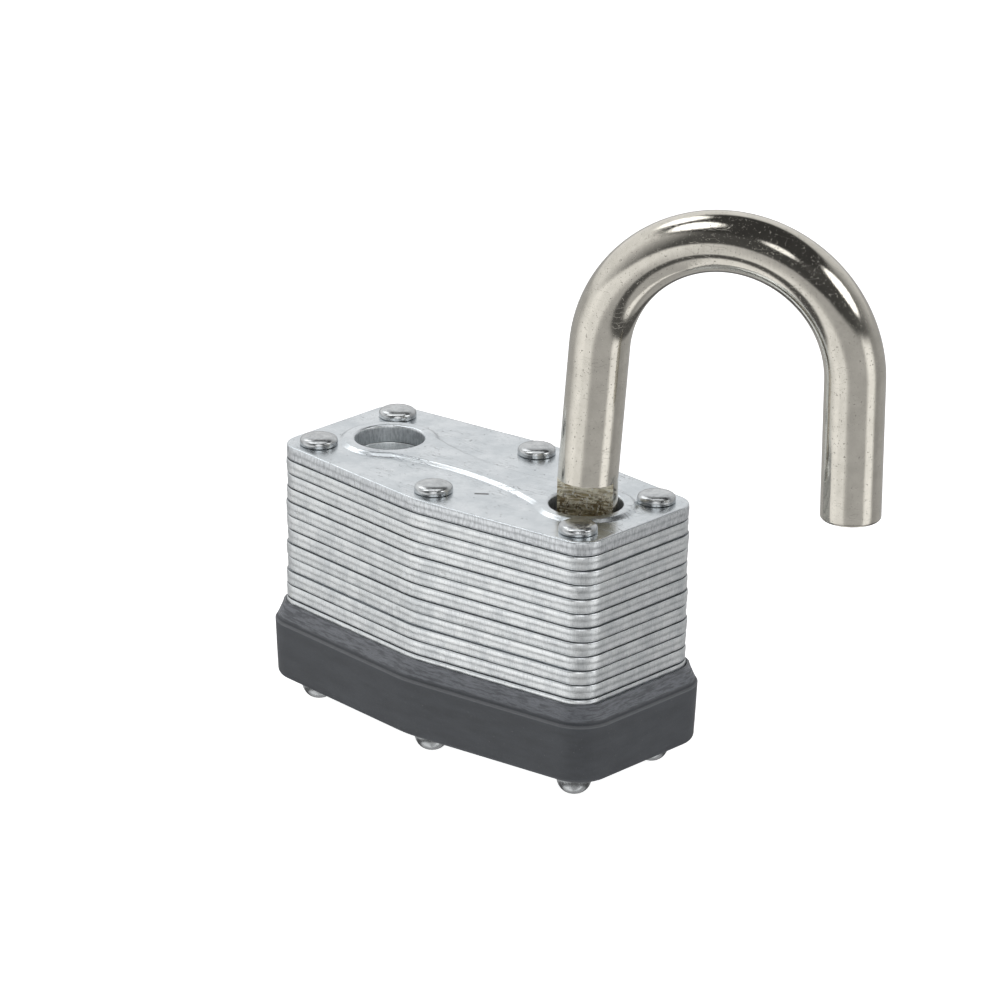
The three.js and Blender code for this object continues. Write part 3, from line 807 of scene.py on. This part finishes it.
def rivets(finish):
    pattern = Pattern("rivet rows")
    across = pattern.size("Column spacing", COLUMN_SPACING * MM)
    back = pattern.size("Row spacing", ROW_SPACING * MM)
    spread = pattern.size("Middle spread", MIDDLE_SPREAD * MM)
    dent = pattern.size("Dent", DENT * MM)
    seed = pattern.size("Seed", 3.7)
    grid = {"Size X": across, "Size Y": back, "Vertices X": 3, "Vertices Y": 2}
    places = pattern.node("GeometryNodeMeshGrid", None, grid, out="Mesh")
    here = pattern.node("GeometryNodeInputPosition")
    x, y = pattern.part(here, "X"), pattern.part(here, "Y")
    outward = y.maths("SIGN", y) * spread * (abs(x).between(0.002, 0.001))
    spots = pattern.pushed(places, Y=outward)
    line = pattern.node("GeometryNodeMeshToCurve", None, {"Mesh": pattern.carrier})
    radius = pattern.node("GeometryNodeInputNamedAttribute", {"data_type": "FLOAT"}, {"Name": "radius"})
    round_bar = pattern.node("GeometryNodeCurvePrimitiveCircle", None, {"Resolution": 40, "Radius": 1.0})
    lathe = {"Curve": line, "Profile Curve": round_bar, "Scale": radius, "Fill Caps": True}
    pin = pattern.node("GeometryNodeCurveToMesh", None, lathe)
    set_out = pattern.node("GeometryNodeInstanceOnPoints", None, {"Points": spots, "Instance": pin})
    loose = pattern.node("GeometryNodeRealizeInstances", None, {"Geometry": set_out})
    moved = pattern.node("ShaderNodeVectorMath", {"operation": "ADD"}, {0: here, 1: seed})
    lumps = {"Vector": moved, "Scale": 420.0, "Detail": 1.0}
    chance = pattern.node("ShaderNodeTexNoise", None, lumps, out="Color")
    centred = pattern.node("ShaderNodeVectorMath", {"operation": "SUBTRACT"}, {0: chance, 1: (0.5, 0.5, 0.5)})
    knock = pattern.node("ShaderNodeVectorMath", {"operation": "SCALE"}, {0: centred, "Scale": dent * 2})
    hammered = pattern.node("GeometryNodeSetPosition", None, {"Geometry": loose, "Offset": knock})
    return pattern.bake("rivets", lathe_line("rivet line", rivet_profile()), hammered, finish, 50)


made = rivets(rivet_finish())
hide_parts(*[node for node in frame["nodes"] if node.startswith("rivet_")])
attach(made, "case")

# ----------------------------------------------------------------------------------------------------------
# Bumper: one soft vinyl moulding stretched round the foot of the body. A rib inside it sits in the groove
# that the smaller plate leaves, and its lower lip turns under the stack. The mould leaves a satin grain.

BUMPER_GAP = 0.04
BUMPER_RIDGE = (1.30, 6.95)
BUMPER_FOOT = 0.45
RIB = ((-0.75, 6.15), (-0.75, 4.95))


def arc(centre, radius, start, end, steps=6):
    """Points on an arc, in degrees from the outward direction."""
    turns = [math.radians(start + (end - start) * k / steps) for k in range(steps + 1)]
    return [(centre[0] + radius * math.cos(turn), centre[1] + radius * math.sin(turn)) for turn in turns]


def bumper_section():
    """The moulding's section, as (how far outside the plates, height), anticlockwise from its lower lip."""
    under = [(-0.55, BUMPER_FOOT), (0.30, BUMPER_FOOT)]
    heel = arc((0.36, 1.10), 0.65, -88, -8)
    side = [(1.03, 1.6), (1.09, 2.6), (1.18, 4.4), (1.26, 6.2)]
    ridge = arc((1.16, 6.86), 0.14, 0, 62, 4)
    slope = [(0.95, 7.52), (0.62, 8.3), (0.42, 8.80)]
    top = arc((0.28, 8.90), 0.12, 20, 90, 3)
    rib = [(BUMPER_GAP, RIB[0][1]), *RIB, (BUMPER_GAP, RIB[1][1])]
    inner = [(0.16, 9.05), (BUMPER_GAP, 8.95), *rib, (BUMPER_GAP, 1.5), (-0.55, 1.5)]
    return under + heel + side + ridge + slope + top + inner


def loops_mesh(name, outline, section):
    """A carrier with the body's outline and, marked as such, the section to draw round it.

    The section hangs head down, because the sweep turns it over.
    """
    mesh = bpy.data.meshes.new(name)
    places = [(place.x * MM, place.y * MM, 0) for place in outline]
    places += [(offset * MM, -height * MM, 0) for offset, height in section]
    first, second = len(outline), len(section)
    edges = [(i, (i + 1) % first) for i in range(first)]
    edges += [(first + i, first + (i + 1) % second) for i in range(second)]
    mesh.from_pydata(places, edges, [])
    marks = mesh.attributes.new("section", "BOOLEAN", "POINT")
    marks.data.foreach_set("value", [False] * first + [True] * second)
    return mesh


def vinyl_finish():
    """Charcoal vinyl: fine moulded grain, rub-worn pale patches, a little dust; painted highlights on ridge
    and lip.
    """
    vinyl = Finish("charcoal vinyl", IOR=1.5)
    grain = vinyl.cloud(7.0, 3.0, 0.7)
    rub = vinyl.cloud(0.7, 4.0, 0.65, (0.25, 0.25, 1.1))
    dust = vinyl.cloud(5.0, 2.0, 0.5).between(0.70, 0.75)
    height = vinyl.part(vinyl.place, "Z")
    # painted highlight: a paler band is painted along the ridge line of the moulding
    ridge = 1 - abs(height - BUMPER_RIDGE[1]).between(0.06, 0.22)
    # painted sheen: the upper lip is painted paler, with paler streaks; the same streaks also lower its
    # roughness
    lip = height.between(7.2, 7.6)
    base = vinyl.mix(rub.between(0.25, 0.75), (0.044, 0.048, 0.055, 1), (0.060, 0.066, 0.075, 1))
    streak = vinyl.cloud(1.6, 3.0, 0.7, (0.35, 0.35, 3.0))
    lip_sheen_streaks = lip * streak.between(0.36, 0.62)
    with_lip_sheen = vinyl.mix(lip * 0.35 + lip_sheen_streaks * 0.65, base, (0.185, 0.195, 0.215, 1))
    with_ridge_highlight = vinyl.mix(ridge * 0.7, with_lip_sheen, (0.17, 0.178, 0.19, 1))
    vinyl.give(Base_Color=vinyl.mix(dust * 0.35, with_ridge_highlight, (0.20, 0.20, 0.20, 1)))
    vinyl.give(Roughness=0.46 + 0.14 * rub - 0.26 * lip_sheen_streaks)
    vinyl.give(Normal=vinyl.bumped(grain + 0.5 * rub, 0.03))
    return vinyl


def bumper(finish):
    pattern = Pattern("moulded bumper")
    ragged = pattern.size("Ragged lip", 0.05 * MM)
    marked = pattern.node("GeometryNodeInputNamedAttribute", {"data_type": "BOOLEAN"}, {"Name": "section"})
    split = {"Geometry": pattern.carrier, "Selection": marked}
    drawn = pattern.node("GeometryNodeSeparateGeometry", {"domain": "POINT"}, split, out="Selection")
    round_body = pattern.node("GeometryNodeSeparateGeometry", {"domain": "POINT"}, split, out="Inverted")
    path = pattern.node("GeometryNodeMeshToCurve", None, {"Mesh": round_body})
    level = pattern.node("GeometryNodeSetCurveNormal", {"mode": "Z_UP"}, {"Curve": path})
    section = pattern.node("GeometryNodeMeshToCurve", None, {"Mesh": drawn})
    swept = pattern.node("GeometryNodeCurveToMesh", None, {"Curve": level, "Profile Curve": section})
    here = pattern.node("GeometryNodeInputPosition")
    height = pattern.part(here, "Z")
    nibbles = {"Vector": here, "Scale": 900.0, "Detail": 1.0}
    chance = pattern.node("ShaderNodeTexNoise", None, nibbles, out="Fac")
    lift = (chance - 0.5) * 2 * ragged * height.between(8.7 * MM, 8.95 * MM)
    torn = pattern.pushed(swept, Z=lift)
    carrier = loops_mesh("bumper loops", closely(body_outline()), bumper_section())
    return pattern.bake("bumper_moulding", carrier, torn, finish)


made = bumper(vinyl_finish())
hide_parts("bumper")
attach(made, "case")

# ----------------------------------------------------------------------------------------------------------
# Shackle: one 1/4 in steel rod bent to a bow, polished and nickel plated. The heel leg has a notch sheared to
# a flat for the lever, a groove that lets it turn, and one for the retaining ring. The toe is cut square.

ROD_RADIUS = 3.175
SWING_X = 14.5
LEG_SPACING = 28.1
SWING = math.radians(26.1)
HEEL_LEAN = math.radians(4.05)
NOTCH = (-1.3, 3.2)
NOTCH_FLAT = 1.2
HEEL_STRAIGHT = 14.7
TOE_END = 2.05
HEEL_END = -11.6
GROOVES = [(-10.625, -9.825, 2.5), (-8.2, -6.1, 1.9)]
RAGGED = 0.07
TOE_RIM = 0.28
# The notch is torn below the first of these heights over the body, and cleanly cut above the second
TORN_TO_CUT = (1.2, 2.2)


def round_turns():
    """Angles round the rod from its inner side, with one at each corner of the notch's flat."""
    corner = math.asin(NOTCH_FLAT / ROD_RADIUS)
    back = [-corner + (math.pi + 2 * corner) * k / 48 for k in range(48)]
    front = [math.pi + corner + (math.pi - 2 * corner) * k / 24 for k in range(24)]
    return back + front


def bow_stations():
    """Along the rod from heel to toe: (place, direction, radius, whether the notch is there)."""
    up = Vector((0, 0, 1))
    stations = [(Vector((0, 0, HEEL_END)), up, share, False) for share in (1.2, 2.5, 2.78)]
    stations.append((Vector((0, 0, HEEL_END + 0.12)), up, 2.95, False))
    stations.append((Vector((0, 0, HEEL_END + 0.4)), up, ROD_RADIUS, False))
    for bottom, top, radius in GROOVES:
        for height, width in ((bottom, ROD_RADIUS), (bottom, radius), (top, radius), (top, ROD_RADIUS)):
            stations.append((Vector((0, 0, height)), up, width, False))
    for height in (-5.0, -3.6, -2.4, -1.6, NOTCH[0]):
        stations.append((Vector((0, 0, height)), up, ROD_RADIUS, False))
    steps = 22
    for k in range(steps + 1):
        height = NOTCH[0] + (NOTCH[1] - NOTCH[0]) * k / steps
        stations.append((Vector((0, 0, height)), up, ROD_RADIUS, True))
    lean = Vector((math.sin(HEEL_LEAN), 0, math.cos(HEEL_LEAN)))
    knee = Vector((0, 0, NOTCH[1]))
    for k in range(15):
        direction = lean if k else (lean + up).normalized()
        stations.append((knee + lean * HEEL_STRAIGHT * k / 14, direction, ROD_RADIUS, False))
    spring = knee + lean * HEEL_STRAIGHT
    bend = (LEG_SPACING - spring.x) / (1 + math.cos(HEEL_LEAN))
    centre = Vector((LEG_SPACING - bend, 0, spring.z - bend * math.sin(HEEL_LEAN)))
    for k in range(1, 73):
        turn = (math.pi - HEEL_LEAN) * (1 - k / 72)
        arm = Vector((math.cos(turn), 0, math.sin(turn)))
        stations.append((centre + arm * bend, Vector((arm.z, 0, -arm.x)), ROD_RADIUS, False))
    fall = centre.z - TOE_END
    for drop in [fall * k / 16 for k in range(1, 16)] + [fall - TOE_RIM, fall - 0.16, fall - 0.05]:
        rim = max(0, drop - (fall - TOE_RIM)) / TOE_RIM
        radius = ROD_RADIUS - TOE_RIM * (1 - math.sqrt(1 - rim * rim))
        stations.append((Vector((LEG_SPACING, 0, centre.z - drop)), -up, radius, False))
    for radius in (2.86, 2.5, 1.2):
        stations.append((Vector((LEG_SPACING, 0, TOE_END)), -up, radius, False))
    return stations


def rod_ring(bm, station, turns):
    """One ring round the rod. In the notch the rod is cut back to a flat with a torn, grainy face."""
    place, direction, radius, notched = station
    inward = Vector((direction.z, 0, -direction.x))
    verts = []
    for turn in turns:
        along, across = radius * math.cos(turn), radius * math.sin(turn)
        drop = 0
        if notched and across < -NOTCH_FLAT + 1e-4:
            grain = noise.noise(Vector((along * 2.6, place.z * 1.1, 3)))
            tear = noise.noise(Vector((along * 0.9, place.z * 3.4, 8)))
            across = -NOTCH_FLAT + 0.06 * grain + 0.05 * tear - 0.05
            if abs(place.z - NOTCH[1]) < 1e-4 or abs(place.z - NOTCH[0]) < 1e-4:
                drop = RAGGED * noise.noise(Vector((along * 1.7, 0, place.z)))
        verts.append(bm.verts.new(place + inward * along + Vector((0, across, drop))))
    return verts


def nickel_finish():
    """Polished nickel over drawn steel: warm, nearly a mirror, with fine draw lines, pits and scratches."""
    nickel = Finish("polished nickel", Metallic=1.0)
    blotch = nickel.cloud(0.5, 3.0, 0.6)
    wave = nickel.cloud(0.16, 2.0, 0.5)
    speck = nickel.cloud(4.2, 3.0, 0.7).between(0.63, 0.71)
    fine = nickel.cloud(1.5, 3.0, 0.7, (2.0, 2.0, 0.12))
    scratch = abs(nickel.cloud(0.8, 1.0, 0.5, (0.5, 0.5, 1.9)) - 0.5).between(0.008, 0.0)
    patch = nickel.cloud(0.3, 1.0, 0.5).between(0.52, 0.62)
    mark = scratch * patch
    base = nickel.mix(blotch.between(0.3, 0.7), (0.62, 0.592, 0.528, 1), (0.70, 0.668, 0.598, 1))
    nickel.give(Base_Color=nickel.mix(speck * 0.6 + mark * 0.15, base, (0.20, 0.18, 0.155, 1)))
    nickel.give(Roughness=0.05 + 0.05 * blotch + 0.06 * mark + 0.06 * fine)
    relief = 0.5 * wave + 0.10 * fine - 0.26 * speck - 0.05 * mark + 0.05 * blotch
    nickel.give(Normal=nickel.bumped(relief, 0.06))
    return nickel


def sheared_finish():
    """Bare sheared steel in the notch, brassy from grease: level cutter lines above, torn below them."""
    steel = Finish("sheared steel", Metallic=1.0)
    level = steel.cloud(1.7, 2.0, 0.6, (0.35, 0.35, 3.0))
    torn = steel.cloud(1.5, 4.0, 0.75)
    height = steel.part(steel.place, "Z")
    lower = 1 - (height - BODY_TOP).between(*TORN_TO_CUT)
    chip = steel.cloud(2.4, 2.0, 0.6).between(0.57, 0.63)
    grain = level * 0.6 + torn * 0.4
    base = steel.mix(grain.between(0.42, 0.56), (0.44, 0.37, 0.23, 1), (1.0, 0.95, 0.79, 1))
    rough = steel.mix(lower * torn.between(0.50, 0.56), base, (0.28, 0.22, 0.13, 1))
    steel.give(Base_Color=steel.mix(chip * 0.8, rough, (1.0, 0.98, 0.90, 1)))
    steel.give(Roughness=0.34 + 0.2 * grain)
    steel.give(Normal=steel.bumped(grain + chip, 0.09))
    return steel


def shackle(finishes):
    turns = round_turns()
    bm = bmesh.new()
    stations = bow_stations()
    rings = [rod_ring(bm, station, turns) for station in stations]
    for before, after, first, second in zip(stations, stations[1:], rings, rings[1:]):
        for face in skin(bm, second, first):
            middle = face.calc_center_median()
            cut = before[3] and middle.y < -NOTCH_FLAT + 0.15
            face.material_index = 1 if cut or (after[3] and middle.y < -NOTCH_FLAT) else 0
    bm.faces.new(reversed(rings[0]))
    bm.faces.new(rings[-1])
    bmesh.ops.remove_doubles(bm, verts=bm.verts, dist=1e-4)
    bm.transform(Matrix.Translation((SWING_X, 0, BODY_TOP)) @ Matrix.Rotation(SWING, 4, "Z"))
    return shown("shackle_rod", bm, finishes, 40)


made = shackle([nickel_finish(), sheared_finish()])
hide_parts("shackle")
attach(made, "shackle")

# ----------------------------------------------------------------------------------------------------------
# On the heel leg: a snap ring of spring steel in the lower groove, a turned brass cap that the leg stands on,
# and the coiled spring between the cap and the bottom plate, which throws the shackle up.

RETAINER = {"outer": 4.2, "bore": 2.7, "half_gap": 32}
RING_EDGE = [(0.2, 0), (0.08, 0), (0.02, 0.03), (0, 0.1)]
CAP_BOSS = (2.5, 1.5)
SPRING_MEAN_RADIUS = 3.3
SPRING_WIRE_RADIUS = 0.3
SPRING_TURNS = 6


def both_sides(edge, thickness):
    """The same softened corner at the upper and the lower side of a flat part."""
    return edge + [(inset, thickness - drop) for inset, drop in reversed(edge)]


def stamped(bm, outline, holes, bottom, top, edge, hole_edge=None):
    """A flat part with softened corners and round holes."""
    profile = both_sides(edge, top - bottom)
    walls = [edge_wall(bm, outline, profile, top)]
    walls += [edge_wall(bm, hole, both_sides(hole_edge or edge, top - bottom), top, -1) for hole in holes]
    cap(bm, [upper for upper, lower in walls])
    cap(bm, [lower for upper, lower in walls])


def turned(bm, profile, centre, sides=64):
    """A part turned on a lathe, from (radius, height) pairs, closed by a flat cap at each end."""
    rings = [ring(bm, circle(centre, radius, sides), height) for radius, height in profile]
    for lower, upper in zip(rings, rings[1:]):
        skin(bm, upper, lower)
    bm.faces.new(reversed(rings[0]))
    bm.faces.new(rings[-1])


def steel_finish(name, dark, light, roughness):
    """Bare oiled steel with a cloudy temper colour, fine drawing lines and a few dark pits."""
    steel = Finish(name, Metallic=1.0)
    blotch = steel.cloud(0.9, 4.0, 0.6)
    fine = steel.cloud(2.2, 3.0, 0.7, (1.0, 1.0, 5.0))
    speck = steel.cloud(4.0, 2.0, 0.6).between(0.66, 0.74)
    base = steel.mix((blotch * 0.6 + fine * 0.4).between(0.35, 0.65), dark, light)
    steel.give(Base_Color=steel.mix(speck * 0.5, base, (0.12, 0.11, 0.10, 1)))
    steel.give(Roughness=roughness + 0.15 * blotch)
    steel.give(Normal=steel.bumped(fine * 0.6 + blotch * 0.4, 0.03))
    return steel


def brass_finish():
    """Turned brass: fine rings from the tool, a dull film in patches."""
    brass = Finish("turned brass", Metallic=1.0)
    film = brass.cloud(0.6, 4.0, 0.6)
    fine = brass.cloud(2.4, 2.0, 0.6, (0.4, 0.4, 7.0))
    brass.give(Base_Color=brass.mix(film.between(0.35, 0.7), (0.66, 0.47, 0.20, 1), (0.47, 0.34, 0.16, 1)))
    brass.give(Roughness=0.24 + 0.22 * film)
    brass.give(Normal=brass.bumped(fine + 0.4 * film, 0.02))
    return brass


spring_steel = steel_finish("oiled spring steel", (0.25, 0.25, 0.25, 1), (0.45, 0.46, 0.47, 1), 0.26)
lever_steel = steel_finish("tumbled lever steel", (0.36, 0.37, 0.38, 1), (0.56, 0.57, 0.58, 1), 0.32)
turned_brass = brass_finish()


def retaining_ring(finish):
    low, high = in_mm(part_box("retaining_ring"))
    gap = RETAINER["half_gap"]
    turns = [math.radians(gap + (360 - 2 * gap) * k / 56) for k in range(57)]
    outer = [Vector((math.cos(turn), math.sin(turn))) * RETAINER["outer"] for turn in turns]
    bore = [Vector((math.cos(turn), math.sin(turn))) * RETAINER["bore"] for turn in reversed(turns)]
    bm = bmesh.new()
    stamped(bm, outer + bore, [], low.z, high.z, RING_EDGE)
    bm.transform(Matrix.Translation((SWING_X, 0, 0)) @ Matrix.Rotation(SWING, 4, "Z"))
    return shown("snap_ring", bm, [finish])


def spring_cap(finish):
    shoulder = cap_low.z + CAP_BOSS[1]
    edge = (cap_high.x - cap_low.x) / 2
    boss = CAP_BOSS[0]
    bm = bmesh.new()
    turned(bm, [
        (0.6, cap_low.z), (boss - 0.2, cap_low.z), (boss - 0.05, cap_low.z + 0.06), (boss, cap_low.z + 0.2),
        (boss, shoulder), (edge - 0.1, shoulder), (edge, shoulder + 0.1), (edge, cap_high.z - 0.15),
        (edge - 0.05, cap_high.z - 0.04), (edge - 0.15, cap_high.z), (1.4, cap_high.z),
        (1.1, cap_high.z - 0.2),
    ], (HEEL_X, 0))
    return shown("brass_cap", bm, [finish])


def coil(name, finish, centre, radius, wire, turns, bottom, top, closed):
    """A wound spring: a helix whose end coils lie closer, with the wire drawn round it."""
    pattern = Pattern(name)
    mean = pattern.size("Mean radius", radius * MM)
    thickness = pattern.size("Wire radius", wire * MM)
    count = pattern.size("Turns", turns)
    height = pattern.size("Height", (top - bottom) * MM)
    winding = {"Resolution": 40, "Rotations": count, "Start Radius": mean, "End Radius": mean}
    winding["Height"] = height
    helix = pattern.node("GeometryNodeCurveSpiral", None, winding)
    here = pattern.node("GeometryNodeInputPosition")
    share = pattern.part(here, "Z") / height
    eased = share.between(0.0, 1.0)
    wound = pattern.pushed(helix, Z=(eased - share) * height * closed)
    strand = pattern.node("GeometryNodeCurvePrimitiveCircle", None, {"Resolution": 14, "Radius": thickness})
    drawn = {"Curve": wound, "Profile Curve": strand, "Fill Caps": True}
    body = pattern.node("GeometryNodeCurveToMesh", None, drawn)
    spot = Vector((*centre, bottom)) * MM
    set_in = pattern.node("GeometryNodeTransform", None, {"Geometry": body, "Translation": spot})
    return pattern.bake(name, bpy.data.meshes.new(name + " carrier"), set_in, finish, 50)


made = retaining_ring(spring_steel)
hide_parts("retaining_ring")
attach(made, "shackle")

made = spring_cap(turned_brass)
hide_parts("spring_cap")
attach(made, "spring_cap")

coil_low, coil_high = in_mm(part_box("shackle_spring"))
made = coil("lift_spring", spring_steel, (HEEL_X, 0), SPRING_MEAN_RADIUS, SPRING_WIRE_RADIUS, SPRING_TURNS,
            coil_low.z + SPRING_WIRE_RADIUS, coil_high.z - SPRING_WIRE_RADIUS, 0.5)
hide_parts("shackle_spring")
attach(made, "case")
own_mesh(made)

# ----------------------------------------------------------------------------------------------------------
# Locking lever: a stamped steel bell crank in the window of the fifth plate. It turns on a steel pin held by
# the plates above and below, with a small torsion spring round the pin, and its nose enters the notch.

LEVER_OUTLINE = [
    (-3.2, 0.6), (-2.4, 0.4), (3.6, 3.1), (5.4, 3.4), (11.6, 3.5), (12.5, 2.2), (15.2, 2.2), (15.6, 2.7),
    (15.6, 4.6), (11.5, 6.0), (5.2, 7.2), (3.2, 6.8), (-3.6, 1.5),
]
LEVER_BORE_RADIUS = 1.45
LEVER_WITHDRAWN = math.radians(8)
LEVER_EDGE = [(0.3, 0), (0.12, 0), (0.03, 0.05), (0, 0.14)]
LEVER_SPRING_RADIUS = 1.9
LEVER_SPRING_WIRE = 0.2
LEVER_SPRING_TURNS = 2.25


def lever(finish):
    low, high = in_mm(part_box("locking_lever"))
    outline = [Vector(place) - LEVER_PIVOT for place in LEVER_OUTLINE]
    bm = bmesh.new()
    bore = circle((0, 0), LEVER_BORE_RADIUS, 40)
    stamped(bm, closely(outline, 0.8), [bore], low.z, high.z, LEVER_EDGE, RING_EDGE)
    bm.transform(Matrix.Translation((*LEVER_PIVOT, 0)) @ Matrix.Rotation(LEVER_WITHDRAWN, 4, "Z"))
    return shown("lever_crank", bm, [finish])


def lever_pin(finish):
    radius = (pin_high.x - pin_low.x) / 2
    bm = bmesh.new()
    turned(bm, [
        (radius - 0.25, pin_low.z), (radius - 0.06, pin_low.z + 0.06), (radius, pin_low.z + 0.25),
        (radius, pin_high.z - 0.25), (radius - 0.06, pin_high.z - 0.06), (radius - 0.25, pin_high.z),
    ], LEVER_PIVOT, 40)
    return shown("pivot_pin", bm, [finish])


made = lever(lever_steel)
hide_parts("locking_lever")
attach(made, "locking_lever")

made = lever_pin(lever_steel)
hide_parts("lever_pin")
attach(made, "case")

twist_low, twist_high = in_mm(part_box("lever_spring"))
made = coil("torsion_spring", spring_steel, LEVER_PIVOT, LEVER_SPRING_RADIUS, LEVER_SPRING_WIRE,
            LEVER_SPRING_TURNS, twist_low.z + LEVER_SPRING_WIRE, twist_high.z - LEVER_SPRING_WIRE, 0.0)
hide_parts("lever_spring")
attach(made, "case")

# ----------------------------------------------------------------------------------------------------------
# Keyway disc: turned brass with a sawn slot, shouldered so that the bottom plate keeps it in. It is free to
# turn with the key, and shows at the underside of the body.

DISC_BOSS_RADIUS = 4.5
DISC_SHOULDER = 0.1
SLOT_LENGTH = 6.8
SLOT_WIDTH = 1.8
SLOT_EDGE = [(0.25, 0), (0.10, 0), (0.03, 0.04), (0, 0.12)]


def keyway_slot():
    """The sawn slot, with its corners just softened."""
    x, y = SLOT_LENGTH / 2, SLOT_WIDTH / 2
    corners = [Vector(place) for place in ((x, -y), (x, y), (-x, y), (-x, -y))]
    return [place + Vector((KEY_X, 0)) for place in closely(rounded(corners, [0.2] * 4, 4), 0.4)]


def keyway_disc(finish):
    flange = (disc_high.x - disc_low.x) / 2
    thickness = disc_high.z - disc_low.z
    step = disc_high.z - PLATE_THICKNESS - DISC_SHOULDER
    grow = DISC_BOSS_RADIUS - flange
    edge = [
        (grow + 0.4, 0), (grow + 0.12, 0), (grow + 0.03, 0.05), (grow, 0.15), (grow, step - 0.1),
        (grow + 0.08, step), (0, step), (0, thickness - 0.15), (0.03, thickness - 0.05), (0.12, thickness),
        (0.5, thickness), (0.55, thickness - 0.12), (0.75, thickness - 0.12), (0.8, thickness),
    ]
    bm = bmesh.new()
    rim = edge_wall(bm, circle((KEY_X, 0), DISC_BOSS_RADIUS, 72), edge, disc_high.z)
    slot = edge_wall(bm, keyway_slot(), both_sides(SLOT_EDGE, thickness), disc_high.z, -1)
    cap(bm, [rim[0], slot[0]])
    cap(bm, [rim[1], slot[1]])
    return shown("keyway_turntable", bm, [finish])


made = keyway_disc(turned_brass)
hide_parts("keyway_disc")
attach(made, "keyway_disc")

# ----------------------------------------------------------------------------------------------------------
# Cards: two big soft cards, one overhead and one before the body, flagged so that they light only the zinc.
# They keep the top plate pale from above and from behind, while the bright rod keeps its dark band.

CARD_DISTANCE = 700
CARDS = [("overhead card", 0, 89, 620, 1.1), ("front card", 0, 22, 520, 0.9)]


def card(name, right, up, size, power, lit):
    light = bpy.data.lights.new(name, "AREA")
    light.shape = "DISK"
    light.size = size * MM
    light.energy = power
    made = bpy.data.objects.new(name, light)
    away = bearing(CAMERA_AZIMUTH + right, up)
    made.location = (CAMERA_TARGET + away * CARD_DISTANCE) * MM
    made.rotation_euler = away.to_track_quat("Z", "Y").to_euler()
    made.visible_camera = False
    made.light_linking.receiver_collection = lit
    bpy.context.collection.objects.link(made)


zinc_pieces = bpy.data.collections.new("zinc pieces")
for piece in bpy.context.collection.objects:
    if piece.name.startswith(("zinc_plate", "top_plate", "rivets")):
        zinc_pieces.objects.link(piece)
for place in CARDS:
    card(*place, zinc_pieces)
